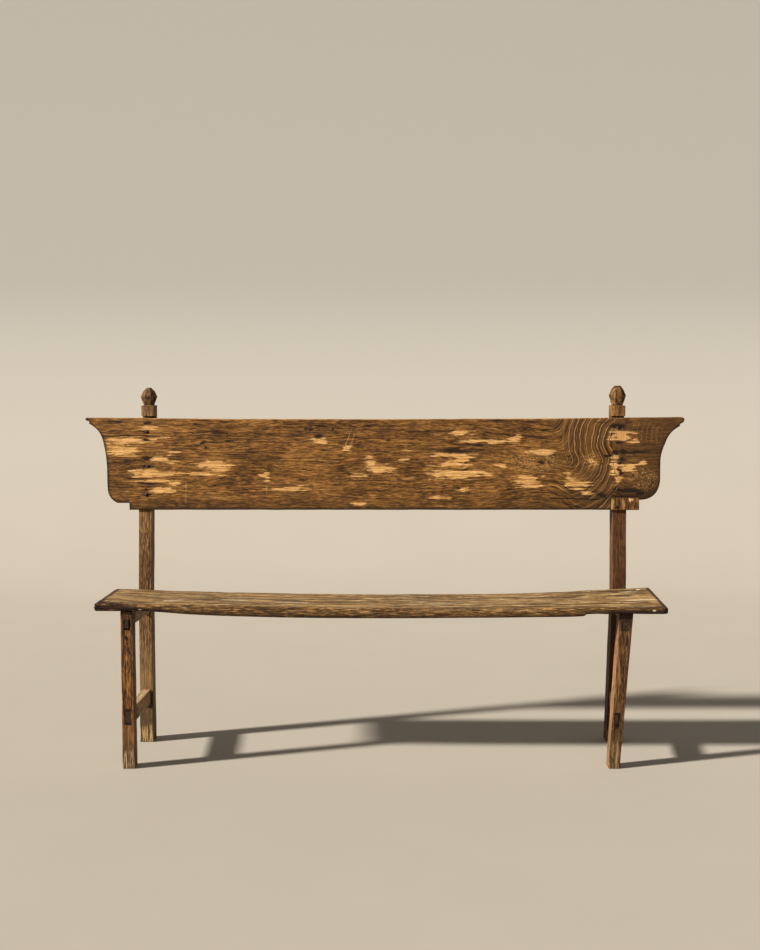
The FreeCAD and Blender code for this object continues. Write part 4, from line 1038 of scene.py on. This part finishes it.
def patch_block():
    """Small block with upright grain, let into the board's lower edge."""
    low, high, middle_x, middle_y = 684.1, 721.9, 694.55, 125.6
    z = stations(low, high, 2.4, [low + 0.4, low + 1.1, high - 1.0, high - 0.4])
    end = np.maximum(fade(z - low, 1.6), fade(high - z, 1.6))
    half = 41.9 - 0.2 * (1 + drift_line(z / 12, 120)) - end
    half_y = 12.4 - 0.2 * (1 + drift_line(z / 9, 121)) - end * 0.8
    ones = np.ones(len(z))
    u, v = section(half, half_y, 1.8 * ones, 1.6 * ones, sides=8, across=34, corner=4)
    points = upright_rings(middle_x * ones, z, middle_y * ones, u, v)
    points = carved(points, 2, 1.0, 124, 30.0, 7.0)
    points = held(points, "back_board_patch")
    return skin("back_board_patch_skin", points, {"arris": arris(u, v, half, half_y, 4.0)}, 50)


# Nails

def nail_heads(name, node, spots, seed):
    """Wrought heads: a dome of facets on each spot, closed by a shank that goes into the wood.

    A head's height falls with the square of the distance from its middle, and its rim is
    uneven. The heads face the front.
    """
    turns, bands, radius, tall, shank = 14, 6, 4.6, 2.4, 26.0
    angle = np.linspace(0, 2 * math.pi, turns, endpoint=False)[None, :]
    dome = np.linspace(0, 1, bands + 1)[1:]
    share = np.concatenate([dome, [0.97, 0.42, 0.40, 0.2]])[:, None]
    lift = np.concatenate([tall * (1 - dome ** 2 * 0.85), [0.0, 0.0, -8.0, -24.0]])[:, None]
    out = np.array([0.0, -1.0, 0.0])
    side_a = np.array([1.0, 0, 0])
    side_b = np.cross(out, side_a)
    points, quads, tips = [], [], []
    for number, spot in enumerate(spots):
        ragged = 1 + 0.10 * np.sin(3 * angle + number) + 0.06 * np.sin(5 * angle + 2 * number + seed)
        facets = 0.18 * np.sin(4 * angle + number) * (share > 0.3) * (lift > 0)
        wide = radius * share * ragged
        rings = (np.array(spot, float) + (wide * np.cos(angle))[..., None] * side_a
                 + (wide * np.sin(angle))[..., None] * side_b + (lift + facets)[..., None] * out)
        start = sum(len(block) for block in points)
        index = start + np.arange(rings.shape[0] * turns).reshape(-1, turns)
        following = np.roll(index, -1, axis=1)
        quads.append(np.stack([index[:-1], index[1:], following[1:], following[:-1]], axis=-1).reshape(-1, 4))
        points.append(rings.reshape(-1, 3))
        points.append(np.array([np.array(spot) + out * tall, np.array(spot) - out * shank]))
        crown = start + rings.shape[0] * turns
        point = crown + 1
        tips.append(np.stack([index[0], following[0], np.full(turns, crown)], axis=-1))
        tips.append(np.stack([following[-1], index[-1], np.full(turns, point)], axis=-1))
    points = held(np.concatenate(points), node)
    return surface(name, points * MM, [np.concatenate(quads), np.concatenate(tips)], {}, 30)


def iron():
    """Dull forged iron: blue-grey with brown rust in the hollows."""
    kit = Finish("wrought_iron")
    cloud = kit.noise(kit.place, 320.0, 4.0, 0.6)
    grain = kit.noise(kit.place, 1400.0, 2.0, 0.6)
    colour = kit.ramp(cloud, [(0.3, tone(28, 21, 17)), (0.55, tone(56, 49, 45)), (0.75, tone(86, 78, 72))])
    colour = kit.blend(grain.ease(0.55, 0.75) * 0.5, colour, tone(78, 46, 27))
    kit.shader.inputs["Metallic"].default_value = 0.35
    return kit.close(colour, 0.45 + grain * 0.3, cloud * 0.7 + grain * 0.3, 0.0006)


# Finishes

def upright_surface(dark_marks_and_shadow, foot, foot_tint, tints_and_painted_shade=()):
    """Knots and stains of a leg or post, its pale worn foot, bands of darker or lighter wood,
    painted shade under the seat and on its +X side, a painted highlight on the front of its
    -X side, and on the left post the stretcher's painted shadow.

    foot is the height at which the pale wood begins; each entry of tints_and_painted_shade is a
    height, the height where it is full, a tint and a share: a band of darker or lighter wood,
    or painted shade under the seat.
    """
    def surface_of(kit, colour, rough, height, fibre, streaks):
        bits = kit.flecks(190.0, 190.0, 30.0, 0.68) - 0.5
        lines = kit.flecks(300.0, 300.0, 12.0, 0.62)
        colour = kit.blend(lines.ease(0.55, 0.64) * 0.75, colour, tone(34, 20, 10))
        inner = kit.attribute("flank")
        # Bands of darker or lighter wood, and painted shade under the seat
        for start, full, shade, share in tints_and_painted_shade:
            mask = (kit.z + bits * 0.05).ease(start * MM, full * MM)
            colour = kit.blend(mask * share, colour, shade)
        begin = foot * MM
        pale = (kit.z + bits * 0.16).ease(begin, begin * 0.4)
        rind = (kit.z + bits * 0.16).ease(begin * 1.6, begin * 1.1) * (1 - pale)
        colour = kit.blend(rind * 0.4, colour, tone(40, 25, 13))
        grey = kit.blend(lines.ease(0.40, 0.54), foot_tint, tone(92, 68, 42))
        colour = kit.blend(pale * 0.8, colour, grey)
        rifts = (lines - 0.5).size().ease(0.035, 0.01) * pale
        colour = kit.blend(rifts * 0.6, colour, tone(44, 30, 18))
        # Painted shade on the +X side of each leg and post
        colour = kit.blend(inner.ease(0.2, 0.8) * 0.35, colour, tone(40, 25, 15))
        lit = inner.ease(-0.92, -1.0) * kit.y.ease(0.0, -0.05) * lines.ease(0.58, 0.50)
        colour = kit.blend(lit * 0.25, colour, tone(190, 146, 108))
        height = height - rifts * 1.2 - lines.ease(0.55, 0.64) * 0.8
        if dark_marks_and_shadow:
            # Knots, checks and dark streaks, and on the left post the stretcher's painted shadow
            dark_spots_and_shadow = marks(kit, dark_marks_and_shadow, bits * 1.6)
            colour = kit.blend(dark_spots_and_shadow * 0.92, colour, tone(24, 15, 9))
            height = height - dark_spots_and_shadow * 1.5
        carved_tip = kit.z.ease(0.985, 0.992)
        fleck = kit.flecks(110.0, 110.0, 80.0, 0.62)
        colour = kit.blend(carved_tip * 0.55, colour, tone(104, 74, 42))
        colour = kit.blend(fleck.ease(0.47, 0.57) * carved_tip * 0.8, colour, tone(40, 27, 14))
        colour = kit.blend(fleck.ease(0.42, 0.34) * carved_tip * 0.5, colour, tone(170, 130, 82))
        return colour, rough + pale * 0.1, height
    return surface_of


def rail_surface(kit, colour, rough, height, fibre, streaks):
    """Top painted lighter as a painted highlight; the tenons' end grain is nearly black, and painted shade of
    a deep hole lies by the right leg's lower tenon.
    """
    # Painted highlight on the top face of each rail
    colour = kit.blend(kit.attribute("flank").ease(0.3, 0.9) * 0.5, colour, tone(196, 168, 128))
    ends = (kit.y.ease(-0.150, -0.157)).above(kit.y.ease(0.165, 0.172))
    grain = kit.noise(kit.place, 420.0, 3.0, 0.6)
    end_tone = kit.blend(grain.ease(0.44, 0.62), tone(22, 14, 9), tone(74, 50, 32))
    colour = kit.blend(ends * 0.95, colour, end_tone)
    # Painted shade of a deep hole by the right leg's lower stretcher tenon
    under = marks(kit, [((641, -160, 142), (5, 6, 18), 1.2), ((635, -160, 122), (7, 6, 6), 1.0)], 0.3)
    return kit.blend(under * 0.95, colour, tone(8, 5, 3)), rough, height


def patch_surface(kit, colour, rough, height, fibre, streaks):
    """Light and dark upright streaks, a dark seam all round and a painted highlight by the right end."""
    bits = kit.flecks(160.0, 60.0, 40.0, 0.6, 3.0) - 0.5
    # The first mark is a painted highlight; the other two are light streaks in the wood
    light_streaks_and_highlight = marks(kit, [((709, 113, 714), (9, 20, 7), 1.0), ((658, 113, 702), (5, 20, 20), 0.6),
                         ((690, 113, 700), (5, 20, 16), 0.4)], bits * 2.5)
    dark = marks(kit, [((669, 113, 694), (7, 20, 7), 1.0), ((680, 113, 706), (3, 20, 14), 0.8),
                       ((727, 113, 696), (8, 20, 12), 0.9), ((699, 113, 692), (3, 20, 10), 0.7)], bits * 2.0)
    colour = kit.blend(light_streaks_and_highlight * 0.8, colour, tone(228, 184, 130))
    colour = kit.blend(dark * 0.8, colour, tone(40, 24, 13))
    seam = kit.z.ease(0.7175, 0.7205).above(kit.x.ease(0.6560, 0.6535))
    return kit.blend(seam * 0.8, colour, tone(34, 20, 11)), rough, height


board_wood = timber(
    "board_wood", "x", tone(52, 31, 10), tone(114, 76, 34), tone(176, 125, 64), tone(204, 152, 86),
    grain=board_lines, edge_wear=0.75, mottle=0.45, extra=board_surface)
seat_wood = timber(
    "seat_wood", "x", tone(56, 37, 16), tone(112, 78, 40), tone(176, 134, 80), tone(204, 164, 108),
    edge_wear=0.3, extra=seat_surface, squeeze=0.16)
left_post_wood = timber(
    "left_post_wood", "z", tone(60, 40, 21), tone(118, 84, 50), tone(164, 126, 82), tone(180, 140, 94),
    edge_wear=0.3, mottle=0.6, streak=0.9,
    # The two dark marks on the post's front are the side stretcher's painted shadow
    extra=upright_surface([((-683, 120, 128), (9, 12, 30), 0.8), ((-690, 120, 112), (8, 12, 20), 0.4)],
                          66, tone(200, 168, 116),
                          [(330, 230, tone(158, 130, 88), 0.35), (140, 100, tone(60, 42, 24), 0.5)]))
right_post_wood = timber(
    "right_post_wood", "z", tone(50, 30, 15), tone(120, 80, 42), tone(168, 122, 70), tone(184, 138, 84),
    edge_wear=0.3,
    extra=upright_surface([], 50, tone(150, 108, 72),
                          # Below the board the post is darker wood; below the seat, 452 to 440, it gets
                          # painted shade from the seat
                          [(955, 940, tone(58, 30, 18), 0.64), (452, 440, tone(60, 24, 13), 0.7)]))
left_leg_wood = timber(
    "left_leg_wood", "z", tone(40, 22, 8), tone(104, 66, 29), tone(174, 120, 62), tone(196, 140, 80),
    edge_wear=0.5, streak=1.2,
    extra=upright_surface(
        [((-703, -160, 360), (5, 24, 9), 1.1), ((-699, -160, 329), (4, 24, 8), 0.9),
         ((-694, -160, 321), (3, 24, 5), 0.8), ((-690, -160, 255), (2.5, 24, 60), 0.7),
         ((-712, -160, 190), (3, 24, 40), 0.6), ((-705, -160, 282), (3, 24, 16), 0.7)],
        # The top of the leg, 385 to 425, is painted shade under the seat; the band below 150 is paler wood
        60, tone(186, 160, 120), [(385, 425, tone(44, 24, 14), 0.75), (150, 95, tone(112, 84, 52), 0.5)]))
right_leg_wood = timber(
    "right_leg_wood", "z", tone(40, 24, 12), tone(96, 64, 36), tone(150, 110, 68), tone(170, 130, 84),
    edge_wear=0.5, streak=1.1, mottle=0.8,
    extra=upright_surface(
        [((658, -160, 352), (3.5, 24, 26), 1.0), ((644, -160, 310), (2.5, 24, 24), 0.6),
         ((650, -160, 250), (2.5, 24, 40), 0.5)],
        # The top of the leg, 350 to 415, is painted shade under the seat
        90, tone(168, 134, 92), [(350, 415, tone(44, 22, 13), 0.85)]))
rail_wood = timber(
    "rail_wood", "y", tone(60, 42, 22), tone(122, 90, 54), tone(168, 132, 88), tone(190, 154, 106),
    edge_wear=0.4, extra=rail_surface)
patch_wood = timber(
    "patch_wood", "z", tone(52, 30, 11), tone(116, 76, 36), tone(176, 124, 68), tone(214, 166, 106),
    edge_wear=0.8, extra=patch_surface)
# Very dark wedges: dark end grain, partly painted shade of the recessed wedges
wedge_wood = timber(
    "wedge_wood", "y", tone(20, 12, 8), tone(44, 28, 17), tone(74, 50, 30), tone(90, 64, 40), edge_wear=0.0)
nail_iron = iron()


# Pieces

dress(back_board(), "back_board", board_wood)
dress(seat_plank(), "seat_plank", seat_wood)
dress(patch_block(), "back_board_patch", patch_wood)
for side, post, leg in (("left", left_post_wood, left_leg_wood), ("right", right_post_wood, right_leg_wood)):
    dress(rear_post(side), f"{side}_rear_post", post)
    dress(front_leg(side), f"{side}_front_leg", leg)
    for kind, node in RAIL_NODES.items():
        dress(side_rail(side, kind), node.format(side), rail_wood)
    for place in ("leg", "post"):
        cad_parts[f"{side}_{place}_wedges"].data.materials[0] = wedge_wood

for name, node, spots, seed in (
        ("left_board_nail_heads", "left_board_nails",
         [(-687.0, 114.2, 911), (-685.0, 114.2, 811), (-690.0, 114.2, 729)], 7),
        ("right_board_nail_heads", "right_board_nails", [(672.0, 114.2, 923), (672.0, 114.2, 745)], 3),
        ("patch_nail_head", "patch_nail", [(670.0, 113.2, 694)], 5)):
    dress(nail_heads(name, node, spots, seed), node, nail_iron)
for side in ("left", "right"):
    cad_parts[f"{side}_seat_nails"].data.materials[0] = nail_iron


# Floor, light and camera

def studio_sweep():
    """Pale floor that turns up into a backdrop: a profile of floor, quarter circle and wall."""
    turn = np.linspace(0, math.pi / 2, 24)
    radius, back, reach, tall = 1.6, 2.6, 9.0, 7.0
    y = np.concatenate([[-reach], back + radius * np.sin(turn), [back + radius]])
    z = np.concatenate([[0.0], radius - radius * np.cos(turn), [tall]])
    x = np.array([-reach, 0.0, reach])[:, None]
    places = np.stack(np.broadcast_arrays(x, y, z), axis=-1)
    index = np.arange(places.shape[0] * places.shape[1]).reshape(places.shape[:2])
    quads = np.stack([index[:-1, :-1], index[1:, :-1], index[1:, 1:], index[:-1, 1:]], axis=-1).reshape(-1, 4)
    sweep = surface("studio_sweep", places.reshape(-1, 3), [quads], {}, 60)
    kit = Finish("studio_paint")
    cloud = kit.noise(kit.place, 3.0, 2.0)
    floor = kit.blend(cloud, tone(166, 159, 149), tone(170, 163, 153))
    colour = kit.blend(kit.z.ease(0.0, radius), floor, tone(184, 181, 175))
    sweep.data.materials.append(kit.close(colour, 0.85 + cloud * 0.05, cloud, 0.0002))


def lamp(name, kind, toward, power, colour, **settings):
    """Light of a kind that shines along a direction, with the kind's own settings."""
    light = bpy.data.lights.new(name, kind)
    light.energy, light.color = power, colour
    for key, value in settings.items():
        setattr(light, key, value)
    holder = bpy.data.objects.new(name, light)
    toward = np.array(toward, float) / np.linalg.norm(toward)
    holder.location = -4.8 * toward
    holder.rotation_euler = (math.acos(-toward[2]), 0, math.atan2(toward[1], toward[0]) - math.pi / 2)
    bpy.context.scene.collection.objects.link(holder)


studio_sweep()
lamp("side_light", "SUN", (0.820, 0.299, -0.488), 8.0, (1.0, 0.94, 0.84), angle=math.radians(4.0))
lamp("soft_front", "AREA", (-0.15, 0.84, -0.52), 10, (1.0, 0.98, 0.95), size=3.0)
world = bpy.data.worlds.new("soft_surround")
bpy.context.scene.world = world
world.use_nodes = True
glow = world.node_tree.nodes["Background"]
glow.inputs["Color"].default_value = (1.0, 0.95, 0.88, 1.0)
glow.inputs["Strength"].default_value = 0.15
bpy.context.scene.view_settings.view_transform = "Standard"

eye = bpy.data.cameras.new("eye")
# The eye's distance in picture heights gives its lens
eye.sensor_width = 36.0
eye.lens = eye.sensor_width * 1420.0 / 950.0
eye_holder = bpy.data.objects.new("eye", eye)
eye_holder.location = (-0.014, -3.975, 1.092)
eye_holder.rotation_euler = (math.radians(90 - 4.28), 0, 0)
bpy.context.scene.collection.objects.link(eye_holder)
bpy.context.scene.camera = eye_holder
